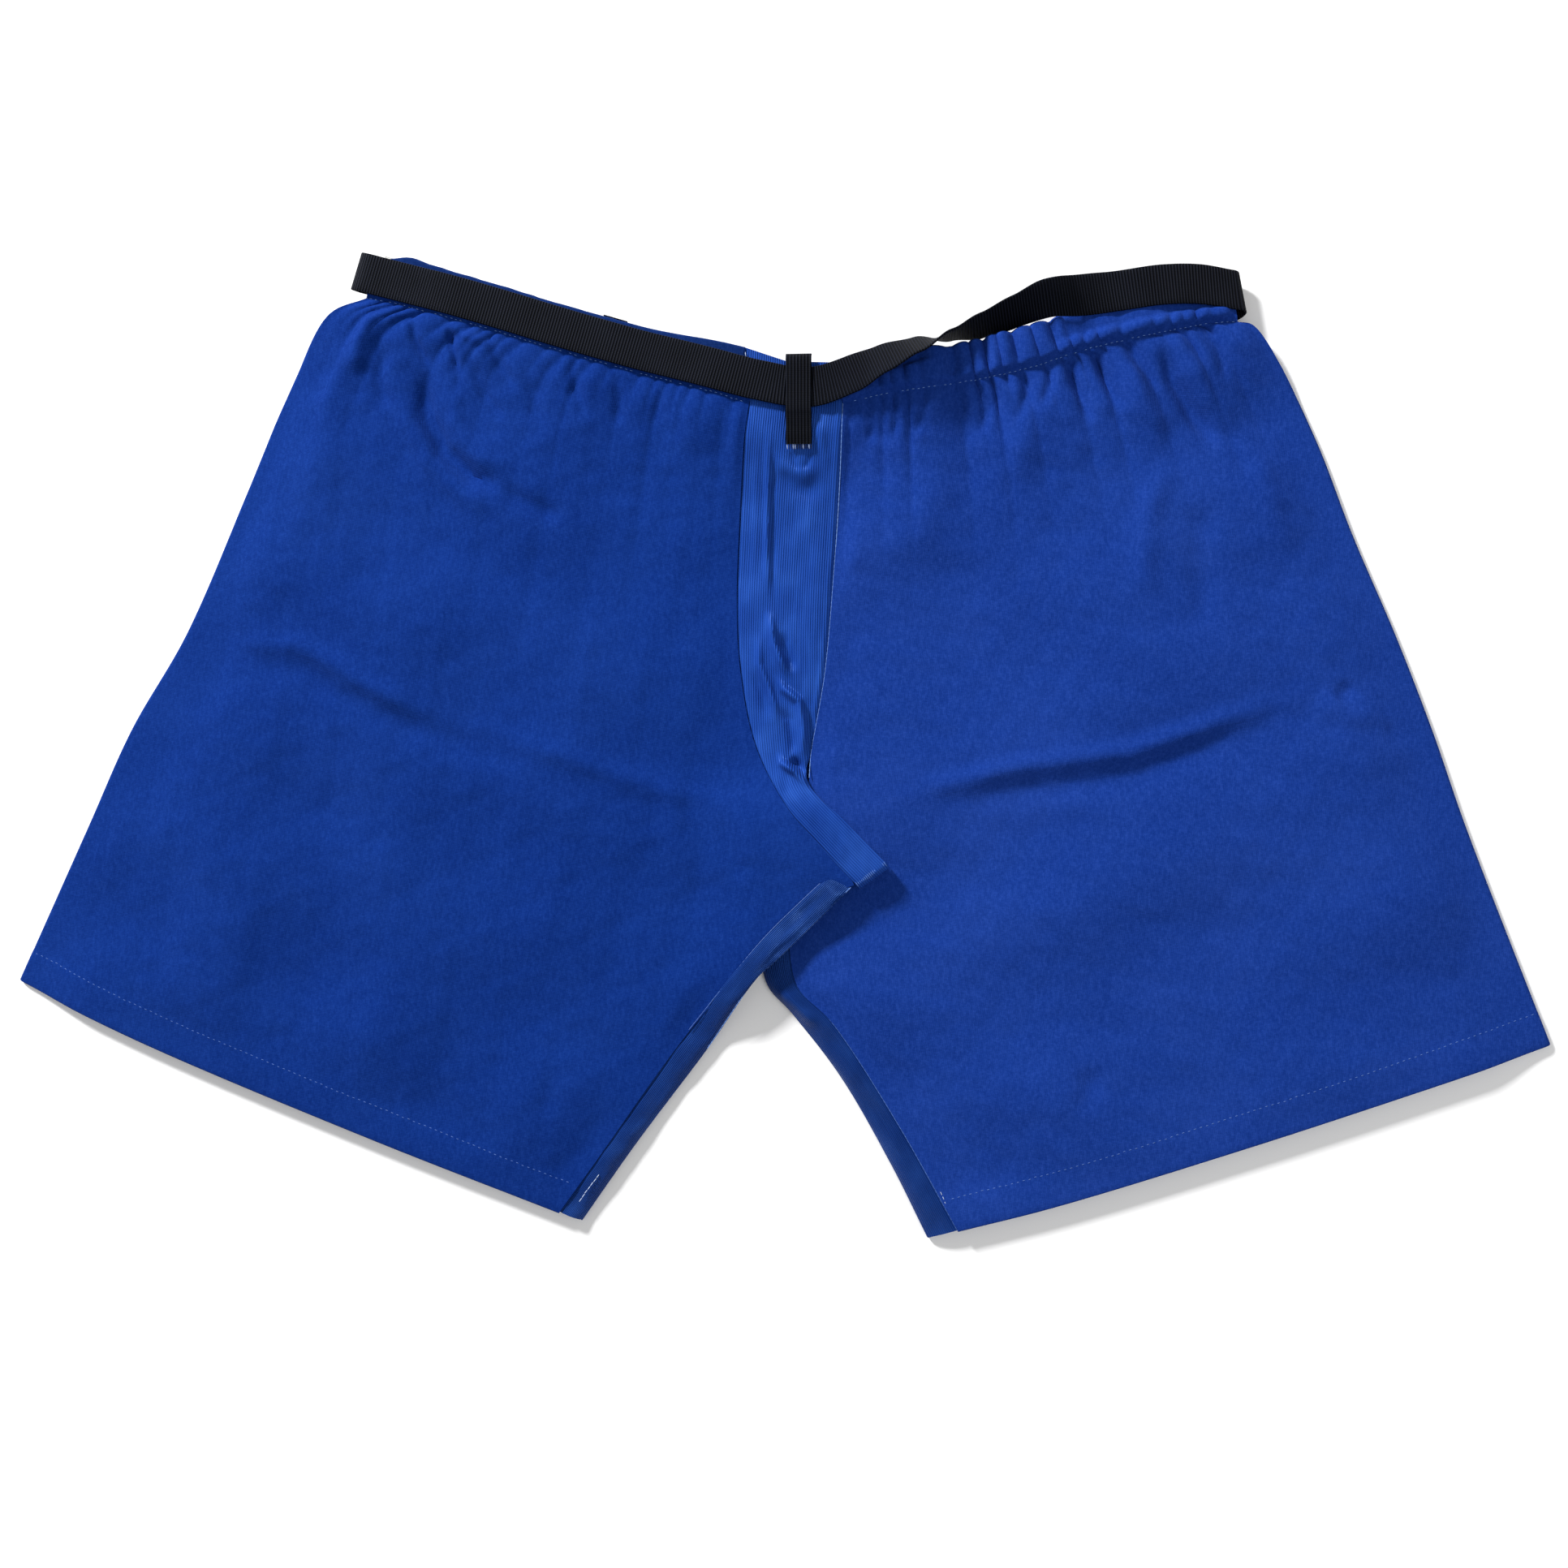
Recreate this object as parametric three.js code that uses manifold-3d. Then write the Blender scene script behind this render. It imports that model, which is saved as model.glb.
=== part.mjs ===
// Pull-on athletic shorts laid flat on a floor, with a webbing belt and a side-release buckle.
// Units are millimetres. X runs across the spread legs, Y from hem to waist, Z up from the floor.
import * as THREE from "three";
import { mergeVertices } from "three/addons/utils/BufferGeometryUtils.js";
import Module from "manifold-3d";

const wasm = await Module();
wasm.setup();

// ---- Driving dimensions ----
const spreadWidth = 996; // from one hem corner to the other, with the legs spread
const spreadLength = 642; // from the lowest hem corner to the top of the waist
const clothWall = 1.2; // thickness of each leg panel, gusset and strip
const seamGap = 0.9; // distance left between two sewn edges, along the cloth
const layerGap = 0.3; // distance left between two cloths that lie on each other
const legGap = 5.8; // clear height inside a leg
const waistGap = 5.4; // clear height inside the waist
const casingHeight = 25.4; // waist tunnel, from top edge to stitch line
const casingThick = 3.8; // both walls of the waist tunnel and the slot between them
const elasticWidth = 20;
const elasticThick = 1.2;
const elasticPlay = 0.35; // elastic to tunnel wall, on each side
const webbingWidth = 25.4;
const webbingThick = 1.4;
const loopTapeWidth = 16.5;
const loopTapeThick = 0.8;
const crotchClear = 0.8; // height left between the right leg and the left leg that lies over it
const gussetBulge = 1.2; // extra height of the slack satin at the front centre

const buckleRail = 3.3; // how far the buckle is wider than the webbing, on each side
const buckleWidth = webbingWidth + 2 * buckleRail;
const buckleThick = 8.2;
const buckleCorner = 4;
const plateThick = 1.6; // top and bottom plates of the socket
const cavityDepth = 27.5;
const pocketWall = 1.5; // between the strap pocket and the cavity
const pocketLength = 8.5; // opening that the webbing passes through
const barRadius = 1.5; // bars that the webbing turns round
const barInset = 3.5; // from the buckle's end to the bar's axis
const plugFlange = 8; // solid part of the plug, behind its pocket
const throatWall = 3.5; // beside the socket's mouth
const throatHalf = buckleWidth / 2 - throatWall;
const prongPlay = 0.35; // clearance of the prongs inside the socket
const windowStart = 12; // from the mouth to the shoulder that the arms catch on
const windowLength = 9;
const armReach = 25; // from the plug to the tip of each arm
const armRoot = 8; // pivot of each arm, from the buckle's centre line
const armBeam = 2.4;
const armCatch = 1.5; // how far each arm's pad stands out past the throat
const tongueHalf = 2.4;
const tongueReach = 26;
const strapOverlap = 26; // doubled end of the webbing at each bar
const socketLength = cavityDepth + pocketWall + pocketLength;
const plugLength = plugFlange + pocketLength + barInset;

// Heights of the layers at the waist, from the floor up.
const beltBackZ = loopTapeThick + 2 * layerGap + webbingThick / 2;
const casingBackZ = beltBackZ + webbingThick / 2 + 0.5 + casingThick / 2;
const buckleZ = 0.3 + buckleThick / 2;
const humpHeight = buckleZ + buckleThick / 2 + 0.4 + casingThick / 2 - casingBackZ;
const casingSideZ = casingBackZ + casingThick + layerGap;
const casingFrontZ = casingBackZ + casingThick + waistGap;
const beltOverCasing = casingThick / 2 + layerGap + webbingThick / 2;

// Heights of the leg's layers.
const backZ = clothWall / 2;
const foldZ = backZ + clothWall + layerGap;
const frontZ = backZ + clothWall + legGap;
const crotchLift = frontZ - backZ + clothWall + crotchClear;

const stitchOffset = casingHeight / 2 + seamGap / 2; // from a tunnel's middle to the panel's edge

// ---- Outlines, seen from above ----
// The outlines are drawn for one spread size, and spread() fits them to the wanted one.
const drawnWidth = 996;
const drawnLength = 642;
const drawnX = (x) => (x * drawnWidth) / spreadWidth;
const drawnY = (y) => (y * drawnLength) / spreadLength;
const spread = (points) => points.map(([x, y, ...rest]) => [
  (x * spreadWidth) / drawnWidth,
  (y * spreadLength) / drawnLength,
  ...rest,
]);

// Where the plug meets the socket's mouth, on the buckle's centre line.
const [[buckleX, buckleY]] = spread([[18, 214]]);
// Centre lines of the waist tunnels, from the centre outwards.
const leftFrontWaist = spread([[-9, 230], [-60, 245], [-117, 262], [-180, 282], [-250, 303]]);
const leftBackWaist = spread([[-14, 241], [-60, 251], [-120, 268], [-180, 287], [-249, 309]]);
const rightFrontWaist = spread([
  [57, 227], [82, 232], [122, 238], [171, 248], [203, 258], [259, 270], [299, 278],
]);
const rightBackWaist = spread([
  [48, 222], [82, 229], [122, 235], [171, 246], [203, 255], [259, 267], [297, 276],
]);
// Outer folds, from the waist down to the hem.
const leftOuter = spread([
  [-284, 280], [-312, 232], [-340, 168], [-383, 71], [-421, 7], [-451, -58], [-498, -160],
]);
const rightOuter = spread([
  [313, 261], [331, 236], [354, 189], [377, 128], [403, 66], [426, 5], [447, -57], [498, -192],
]);
// Front and back rise seams, from the waist down to the crotch.
const leftFrontRise = spread([
  [-8, 194], [-12, 144], [-14, 90], [-12, 46], [-2, -4], [17, -41], [44, -73], [63, -93],
]);
const leftBackRise = spread([
  [-15, 160], [-15, 60], [-14, -10], [-6, -45], [10, -72], [30, -86], [57, -94],
]);
const rightFrontRise = spread([
  [53, 169], [49, 109], [43, 42], [34, -11], [33, -25], [29, -45], [24, -78],
]);
const rightBackRise = spread([[46, 160], [44, 80], [40, 10], [33, -30], [24, -78]]);
// Right edge of the front gusset below the rise, where the satin folds over and lies on the right leg.
const gussetFold = spread([
  [53, 169], [49, 109], [43, 42], [34, -9], [31, -20], [33, -30], [56, -53], [82, -79],
]);
// Seams between the front panels and the inner-leg strips, from the crotch to the hem.
const leftInseam = spread([[63, -93], [42, -102], [7, -131], [-44, -188], [-107, -276], [-130, -308]]);
const rightInseam = spread([[24, -78], [20, -120], [25, -159], [48, -183], [91, -249], [128, -315]]);
// Free edges of the inner-leg strips, where the back panels are sewn on.
const leftInner = spread([[60, -95], [12, -142], [0, -153], [-33, -200], [-81, -264], [-116, -314]]);
const rightInner = spread([
  [4, -80], [1, -120], [5, -158], [22, -178], [53, -218], [86, -275], [109, -321],
]);
// Hems, from the outer fold inwards.
const leftHem = spread([[-498, -160], [-409, -201], [-255, -262], [-130, -308]]);
const rightHem = spread([[498, -192], [412, -223], [312, -258], [190, -298], [128, -315]]);

// The belt's half twist, where it slips off the tunnel's top edge: x, y, height of its lower edge over the
// tunnel's middle, heading and roll in degrees. The y counts from half a tunnel and half a belt lower.
const beltTwist = spread([
  [60, 204.6, 3.16, 20, -12],
  [80, 213.6, 0.5, 20, -34],
  [102, 222.6, -3.78, 20, -54],
  [124, 230.2, -10.23, 20, -90],
  [143, 236.6, -10.21, 19, -112],
  [163, 244.1, -6.67, 17, -126],
  [183, 249.6, 4.98, 14, -142],
  [204, 252.6, 3.89, 12, -163],
  [228, 256.1, 3.4, 9, -180],
  [256, 259.6, beltOverCasing + 0.3, 6, -180],
]).map(([x, y, above, heading, roll]) => {
  const top = y + casingHeight / 2 + webbingWidth / 2;
  const edge = (webbingWidth / 2) * Math.abs(Math.sin((roll * Math.PI) / 180));
  return [x, top, casingFrontZ + hump(x, top) + above + edge, heading, roll];
});

// ---- Shared helpers ----
const vec = (x, y, z = 0) => new THREE.Vector3(x, y, z);
const mix = THREE.MathUtils.lerp;

// Smooth step from 0 to 1.
function ease(t) {
  const c = Math.min(1, Math.max(0, t));
  return c * c * (3 - 2 * c);
}

function planCurve(points) {
  return new THREE.CatmullRomCurve3(points.map(([x, y]) => vec(x, y)), false, "centripetal");
}

// The same outline moved sideways by distance, to the left of its direction when distance is positive.
function offsetOutline(points, distance, steps = 16) {
  const curve = planCurve(points);
  return Array.from({ length: steps + 1 }, (_, i) => {
    const at = curve.getPointAt(i / steps);
    const along = curve.getTangentAt(i / steps);
    return [at.x - along.y * distance, at.y + along.x * distance];
  });
}

// An edge that starts beside an end of the tunnel's stitch line, off by the given step, and follows points.
function fromStitchLine(waist, below, end, [stepX, stepY], points) {
  const [x, y] = offsetOutline(waist, below * stitchOffset).at(end);
  return [[x + stepX, y + stepY], ...points];
}

// Height that the buckle under the back of the waist adds to everything over it.
function hump(x, y) {
  const left = ease((x - buckleX + socketLength + 60.5) / 50);
  const right = ease((buckleX + plugLength + 107 - x) / 50);
  return humpHeight * left * right * ease((y - buckleY + buckleWidth / 2 + 48) / 50);
}

// Height that the left leg gains where it lies over the right leg.
function overlapLift(x, y) {
  const across = ease((drawnX(x) + 50) / 50);
  return crotchLift * across * ease((-10 - drawnY(y)) / 45) * ease((drawnY(y) + 230) / 75);
}

function closedGeometry(positions, faces) {
  const geometry = new THREE.BufferGeometry();
  geometry.setAttribute("position", new THREE.Float32BufferAttribute(positions, 3));
  geometry.setIndex(faces);
  return geometry;
}

// A closed sheet of even thickness on either side of the surface that at(u, v) gives.
function sheetGeometry(at, across, down, thick) {
  const positions = [];
  const faces = [];
  const step = 1e-3;
  const index = (side, i, j) => (side * (down + 1) + j) * (across + 1) + i;
  for (const side of [0.5, -0.5]) {
    for (let j = 0; j <= down; j++) {
      for (let i = 0; i <= across; i++) {
        const u = i / across;
        const v = j / down;
        const alongU = at(Math.min(1, u + step), v).sub(at(Math.max(0, u - step), v));
        const alongV = at(u, Math.min(1, v + step)).sub(at(u, Math.max(0, v - step)));
        const normal = alongU.cross(alongV).normalize();
        if (normal.z < 0) normal.negate();
        positions.push(...at(u, v).addScaledVector(normal, side * thick).toArray());
      }
    }
  }
  const quad = (a, b, c, d) => faces.push(a, b, c, a, c, d);
  for (let j = 0; j < down; j++) {
    for (let i = 0; i < across; i++) {
      quad(index(0, i, j), index(0, i, j + 1), index(0, i + 1, j + 1), index(0, i + 1, j));
      quad(index(1, i, j), index(1, i + 1, j), index(1, i + 1, j + 1), index(1, i, j + 1));
    }
    quad(index(0, 0, j), index(1, 0, j), index(1, 0, j + 1), index(0, 0, j + 1));
    quad(index(0, across, j), index(0, across, j + 1), index(1, across, j + 1), index(1, across, j));
  }
  for (let i = 0; i < across; i++) {
    quad(index(0, i, 0), index(0, i + 1, 0), index(1, i + 1, 0), index(1, i, 0));
    quad(index(0, i, down), index(1, i, down), index(1, i + 1, down), index(0, i + 1, down));
  }
  return outwards(closedGeometry(positions, faces));
}

// Stations of a band: where its middle is, and which way its width points.
function bandStations(route, steps) {
  const middle = new THREE.CatmullRomCurve3(route.map(([x, y, z]) => vec(x, y, z)), false, "centripetal");
  const headings = route.map(([, , , heading, roll]) => vec(heading, roll));
  const turn = new THREE.CatmullRomCurve3(headings, false, "catmullrom", 0);
  return Array.from({ length: steps + 1 }, (_, i) => {
    const t = i / steps;
    const angles = turn.getPoint(t).multiplyScalar(Math.PI / 180);
    const along = vec(Math.cos(angles.x), Math.sin(angles.x));
    const width = vec(-Math.sin(angles.x), Math.cos(angles.x)).applyAxisAngle(along, angles.y);
    return { at: middle.getPoint(t), travel: middle.getTangent(t), width };
  });
}

// A run of the belt's webbing along a route.
function addWebbing(name, route, steps) {
  const run = bandGeometry(bandStations(route, steps), webbingWidth, webbingThick);
  addNode(name, run, cloth(webbingBlack, 0.7));
}

// Stations of a band that follows a plan outline at the height that heightAt(x, y, share) gives.
function waistStations(points, heightAt, steps, from = 0, to = 1) {
  const curve = planCurve(points);
  const place = (t) => {
    const at = curve.getPointAt(Math.min(1, Math.max(0, t)));
    return at.setZ(heightAt(at.x, at.y, t));
  };
  return Array.from({ length: steps + 1 }, (_, i) => {
    const t = mix(from, to, i / steps);
    const travel = place(t + 1e-3).sub(place(t - 1e-3)).normalize();
    const flat = vec(travel.x, travel.y).normalize();
    return { at: place(t), travel, width: vec(-flat.y, flat.x) };
  });
}

// A flat band through the stations. With a slot it is a flat tube, open at both ends.
function bandGeometry(stations, width, thick, slotWidth = 0, slotThick = 0) {
  const positions = [];
  const faces = [];
  const rings = slotWidth ? 2 : 1;
  const ringSizes = [[width, thick], [slotWidth, slotThick]];
  for (const { at, travel, width: side } of stations) {
    const up = vec(0, 0).crossVectors(travel, side).normalize();
    for (let ring = 0; ring < rings; ring++) {
      const [w, h] = ringSizes[ring];
      for (const [a, b] of [[-1, -1], [1, -1], [1, 1], [-1, 1]]) {
        const corner = at.clone().addScaledVector(side, (a * w) / 2).addScaledVector(up, (b * h) / 2);
        positions.push(...corner.toArray());
      }
    }
  }
  const index = (s, ring, k) => (s * rings + ring) * 4 + (k % 4);
  const quad = (a, b, c, d) => faces.push(a, b, c, a, c, d);
  const last = stations.length - 1;
  for (let s = 0; s < last; s++) {
    for (let k = 0; k < 4; k++) {
      quad(index(s, 0, k), index(s, 0, k + 1), index(s + 1, 0, k + 1), index(s + 1, 0, k));
      if (slotWidth) quad(index(s, 1, k), index(s + 1, 1, k), index(s + 1, 1, k + 1), index(s, 1, k + 1));
    }
  }
  if (slotWidth) {
    for (let k = 0; k < 4; k++) {
      quad(index(0, 0, k), index(0, 1, k), index(0, 1, k + 1), index(0, 0, k + 1));
      quad(index(last, 0, k), index(last, 0, k + 1), index(last, 1, k + 1), index(last, 1, k));
    }
  } else {
    quad(index(0, 0, 3), index(0, 0, 2), index(0, 0, 1), index(0, 0, 0));
    quad(index(last, 0, 0), index(last, 0, 1), index(last, 0, 2), index(last, 0, 3));
  }
  return outwards(closedGeometry(positions, faces));
}

// Turns every face round when the surface encloses a negative volume.
function outwards(geometry) {
  const p = geometry.getAttribute("position");
  const index = geometry.getIndex();
  const a = vec(0, 0);
  const b = vec(0, 0);
  const c = vec(0, 0);
  let volume = 0;
  for (let i = 0; i < index.count; i += 3) {
    a.fromBufferAttribute(p, index.getX(i));
    b.fromBufferAttribute(p, index.getX(i + 1));
    c.fromBufferAttribute(p, index.getX(i + 2));
    volume += a.dot(b.cross(c));
  }
  if (volume < 0) {
    for (let i = 0; i < index.count; i += 3) {
      const second = index.getX(i + 1);
      index.setX(i + 1, index.getX(i + 2));
      index.setX(i + 2, second);
    }
  }
  return geometry;
}

// ---- Booleans ----
function toSolid(geometry) {
  const bare = geometry.clone();
  bare.deleteAttribute("normal");
  bare.deleteAttribute("uv");
  const merged = mergeVertices(bare, 1e-4);
  return new wasm.Manifold(new wasm.Mesh({
    numProp: 3,
    vertProperties: merged.getAttribute("position").array,
    triVerts: new Uint32Array(merged.getIndex().array),
  }));
}

function fromSolid(solid) {
  const { vertProperties, triVerts } = solid.getMesh();
  return closedGeometry(vertProperties, Array.from(triVerts));
}

// A box given by its lowest and highest corners.
function box(low, high) {
  const size = high.map((value, i) => value - low[i]);
  const geometry = new THREE.BoxGeometry(...size);
  geometry.translate(...low.map((value, i) => value + size[i] / 2));
  return toSolid(geometry);
}

// A plate with rounded corners, from above, between two heights.
function roundedPlate(low, high, radius) {
  const shape = new THREE.Shape();
  const [x0, y0, z0] = low;
  const [x1, y1, z1] = high;
  shape.moveTo(x0 + radius, y0);
  shape.lineTo(x1 - radius, y0);
  shape.absarc(x1 - radius, y0 + radius, radius, -Math.PI / 2, 0);
  shape.lineTo(x1, y1 - radius);
  shape.absarc(x1 - radius, y1 - radius, radius, 0, Math.PI / 2);
  shape.lineTo(x0 + radius, y1);
  shape.absarc(x0 + radius, y1 - radius, radius, Math.PI / 2, Math.PI);
  shape.lineTo(x0, y0 + radius);
  shape.absarc(x0 + radius, y0 + radius, radius, Math.PI, 1.5 * Math.PI);
  const settings = { depth: z1 - z0, bevelEnabled: false, curveSegments: 5 };
  const geometry = new THREE.ExtrudeGeometry(shape, settings);
  geometry.translate(0, 0, z0);
  return toSolid(geometry);
}

// A round bar along Y.
function bar(x, halfLength, radius) {
  const geometry = new THREE.CylinderGeometry(radius, radius, 2 * halfLength, 14);
  geometry.translate(x, 0, 0);
  return toSolid(geometry);
}

// ---- Materials ----
function cloth(color, roughness = 0.9) {
  return new THREE.MeshStandardMaterial({ color, roughness, metalness: 0 });
}
const panelBlue = 0x12348a;
const satinBlue = 0x1f429a;
const elasticWhite = 0xe4e4de;
const webbingBlack = 0x1b1d26;
const plasticBlack = 0x15161a;

const shorts = new THREE.Group();

function addNode(name, geometry, material) {
  const mesh = new THREE.Mesh(geometry, material);
  mesh.name = name;
  shorts.add(mesh);
  return mesh;
}

// ---- Leg panels ----
// The height of the waist tunnel's middle, for a front or a back ply.
function frontCasingHeight(side) {
  return (x, y, share) => mix(casingSideZ, casingFrontZ + hump(x, y), ease(((1 - share) * side) / 60));
}

function backCasingHeight(x, y) {
  return casingBackZ + hump(x, y);
}

// A leg panel between its waist, outer fold, hem, rise seam and inner edge. crotchShare is the share of
// the panel's height, from the waist, at which the rise seam ends.
function legPanel({ waist, outer, hem, rise, inner, crotchShare, heightAt, across, down }) {
  const waistEdge = planCurve(waist);
  const outerEdge = planCurve(outer);
  const hemEdge = planCurve(hem);
  const riseEdge = planCurve(rise);
  const innerEdge = planCurve(inner);
  const innerAt = (v) => (v < crotchShare
    ? riseEdge.getPointAt(v / crotchShare)
    : innerEdge.getPointAt(Math.min(1, (v - crotchShare) / (1 - crotchShare))));
  const corners = [outerEdge.getPointAt(0), innerAt(0), outerEdge.getPointAt(1), innerAt(1)];
  const at = (share, v) => {
    const outerPoint = outerEdge.getPointAt(v);
    const innerPoint = innerAt(v);
    const u = share * (1 - seamGap / outerPoint.distanceTo(innerPoint));
    const point = vec(0, 0)
      .addScaledVector(waistEdge.getPointAt(1 - u), 1 - v)
      .addScaledVector(hemEdge.getPointAt(u), v)
      .addScaledVector(outerPoint, 1 - u)
      .addScaledVector(innerPoint, u)
      .addScaledVector(corners[0], -(1 - u) * (1 - v))
      .addScaledVector(corners[1], -u * (1 - v))
      .addScaledVector(corners[2], -(1 - u) * v)
      .addScaledVector(corners[3], -u * v);
    return point.setZ(heightAt(point.x, point.y, u, v));
  };
  return sheetGeometry(at, across, down, clothWall);
}

// How much of the waist's height a panel has taken up, a share v of the way down it.
const waistShare = (v) => ease((0.17 - v) / 0.16);

function frontPanelHeight(lift) {
  return (x, y, u, v) => {
    const open = ease(u / 0.13);
    const leg = mix(foldZ, frontZ, open);
    const waist = mix(casingSideZ, casingFrontZ + hump(x, y), ease(u / 0.25));
    return mix(leg, waist, waistShare(v)) + lift(x, y);
  };
}

function backPanelHeight(lift) {
  return (x, y, u, v) => mix(backZ, casingBackZ + hump(x, y), waistShare(v)) + lift(x, y);
}

const noLift = () => 0;
const stripWidth = 15; // a strip narrower than this lies flatter
const foldInset = 0.8; // the back ply stops this far inside the front ply's outer fold

function addLeg(side, shape) {
  const { frontWaist, backWaist, frontRise, backRise, inseam, inner } = shape;
  const { outer, hem, lift, below, corners } = shape;
  const crotchShare = 12 / 22;
  const panel = { across: 18, down: 22, crotchShare };
  const outerFold = fromStitchLine(frontWaist, below, -1, corners.outer, outer);
  const frontSeam = fromStitchLine(frontWaist, below, 0, corners.front, frontRise);
  const backSeam = fromStitchLine(backWaist, below, 0, corners.back, backRise);
  const backFold = offsetOutline(outerFold, -below * foldInset, 24);
  addNode(`${side}_front_panel`, legPanel({
    ...panel,
    waist: [frontSeam[0], ...offsetOutline(frontWaist, below * stitchOffset).slice(1, -1), outerFold[0]],
    outer: outerFold,
    hem,
    rise: frontSeam,
    inner: inseam,
    heightAt: frontPanelHeight(lift),
  }), cloth(panelBlue));
  addNode(`${side}_back_panel`, legPanel({
    ...panel,
    waist: [backSeam[0], ...offsetOutline(backWaist, below * stitchOffset).slice(1, -1), backFold[0]],
    outer: backFold,
    hem: [...hem.slice(0, -1), inner.at(-1)],
    rise: backSeam,
    inner,
    heightAt: backPanelHeight(lift),
  }), cloth(panelBlue));
  const seamEdge = planCurve(inseam);
  const freeEdge = planCurve(inner);
  addNode(`${side}_inner_leg_strip`, sheetGeometry((u, v) => {
    const seam = seamEdge.getPointAt(v);
    const free = freeEdge.getPointAt(v);
    const width = seam.distanceTo(free);
    const point = seam.lerp(free, mix(Math.min(0.4, seamGap / width), 1, u));
    const slope = Math.min(1, width / stripWidth);
    return point.setZ(frontZ - (frontZ - foldZ) * u * slope + lift(point.x, point.y));
  }, 3, 26, clothWall), cloth(satinBlue, 0.45));
}

// Where the panels' waist corners lie, from the ends of the stitch lines.
const leftCorners = { front: [7.7, -3.4], back: [2.8, -1.2], outer: [-4.2, -0.4] };
const rightCorners = { front: [-4.6, -1.1], back: [-3.7, -1.1], outer: [2.4, -2.2] };

addLeg("left", {
  frontWaist: leftFrontWaist,
  backWaist: leftBackWaist,
  outer: leftOuter,
  hem: leftHem,
  frontRise: leftFrontRise,
  backRise: leftBackRise,
  inseam: leftInseam,
  inner: leftInner,
  lift: overlapLift,
  below: 1,
  corners: leftCorners,
});
addLeg("right", {
  frontWaist: rightFrontWaist,
  backWaist: rightBackWaist,
  outer: rightOuter,
  hem: rightHem,
  frontRise: rightFrontRise,
  backRise: rightBackRise,
  inseam: rightInseam,
  inner: rightInner,
  lift: noLift,
  below: -1,
  corners: rightCorners,
});

// ---- Centre gussets ----
const foldUnder = 4; // how far the front gusset's end turns down at the crotch

// Height of the front gusset's middle, between its top edge and the crotch.
function frontGussetHeight(x, y) {
  const waist = casingFrontZ + hump(x, y);
  return mix(frontZ, waist, ease((drawnY(y) - 113) / 97)) + crotchLift * ease((-10 - drawnY(y)) / 45);
}

function addGussets() {
  const leftSeam = fromStitchLine(leftFrontWaist, 1, 0, leftCorners.front, leftFrontRise);
  const rightSeam = fromStitchLine(rightFrontWaist, -1, 0, rightCorners.front, gussetFold);
  const topOf = ([x, y]) => [x, y + casingHeight + seamGap];
  const [leftTop, rightTop] = [topOf(leftSeam[0]), topOf(rightSeam[0])];
  const left = planCurve([[leftTop[0] + 0.6, leftTop[1] + 1.2], ...leftSeam]);
  const right = planCurve([[rightTop[0] - 2.5, rightTop[1] - 0.3], ...rightSeam]);
  const turnStart = 0.97;
  addNode("front_centre_gusset", sheetGeometry((u, v) => {
    const down = Math.min(1, v / turnStart);
    const edge = left.getPointAt(down);
    const facing = right.getPointAt(down);
    const inset = seamGap / edge.distanceTo(facing);
    const point = edge.lerp(facing, mix(inset, 1 - inset, u));
    const turned = (Math.max(0, v - turnStart) / (1 - turnStart)) * (Math.PI / 2);
    point.add(vec(0.6, -0.8).multiplyScalar(foldUnder * Math.sin(turned)));
    const bulge = gussetBulge * Math.sin(Math.PI * u) * ease((v - 0.12) / 0.2);
    const height = frontGussetHeight(point.x, point.y) + bulge;
    return point.setZ(height - foldUnder * (1 - Math.cos(turned)));
  }, 8, 40, clothWall), cloth(satinBlue, 0.45));

  const backLeftSeam = fromStitchLine(leftBackWaist, 1, 0, leftCorners.back, leftBackRise).slice(0, 5);
  const backRightSeam = fromStitchLine(rightBackWaist, -1, 0, rightCorners.back, rightBackRise).slice(0, 5);
  const [backLeftTop, backRightTop] = [topOf(backLeftSeam[0]), topOf(backRightSeam[0])];
  const backLeft = planCurve([[backLeftTop[0] + 4, backLeftTop[1] - 0.3], ...backLeftSeam]);
  const backRight = planCurve([[backRightTop[0] - 2.8, backRightTop[1] - 0.3], ...backRightSeam]);
  addNode("back_centre_gusset", sheetGeometry((u, v) => {
    const edge = backLeft.getPointAt(v);
    const facing = backRight.getPointAt(v);
    const inset = seamGap / edge.distanceTo(facing);
    const point = edge.clone().lerp(facing, mix(inset, 1 - inset, u));
    const waist = mix(backZ, casingBackZ + hump(point.x, point.y), ease((drawnY(point.y) - 124) / 85));
    return point.setZ(waist + overlapLift(edge.x, edge.y) * ease(1 - 1.3 * u));
  }, 8, 30, clothWall), cloth(satinBlue, 0.45));
}
addGussets();

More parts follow.
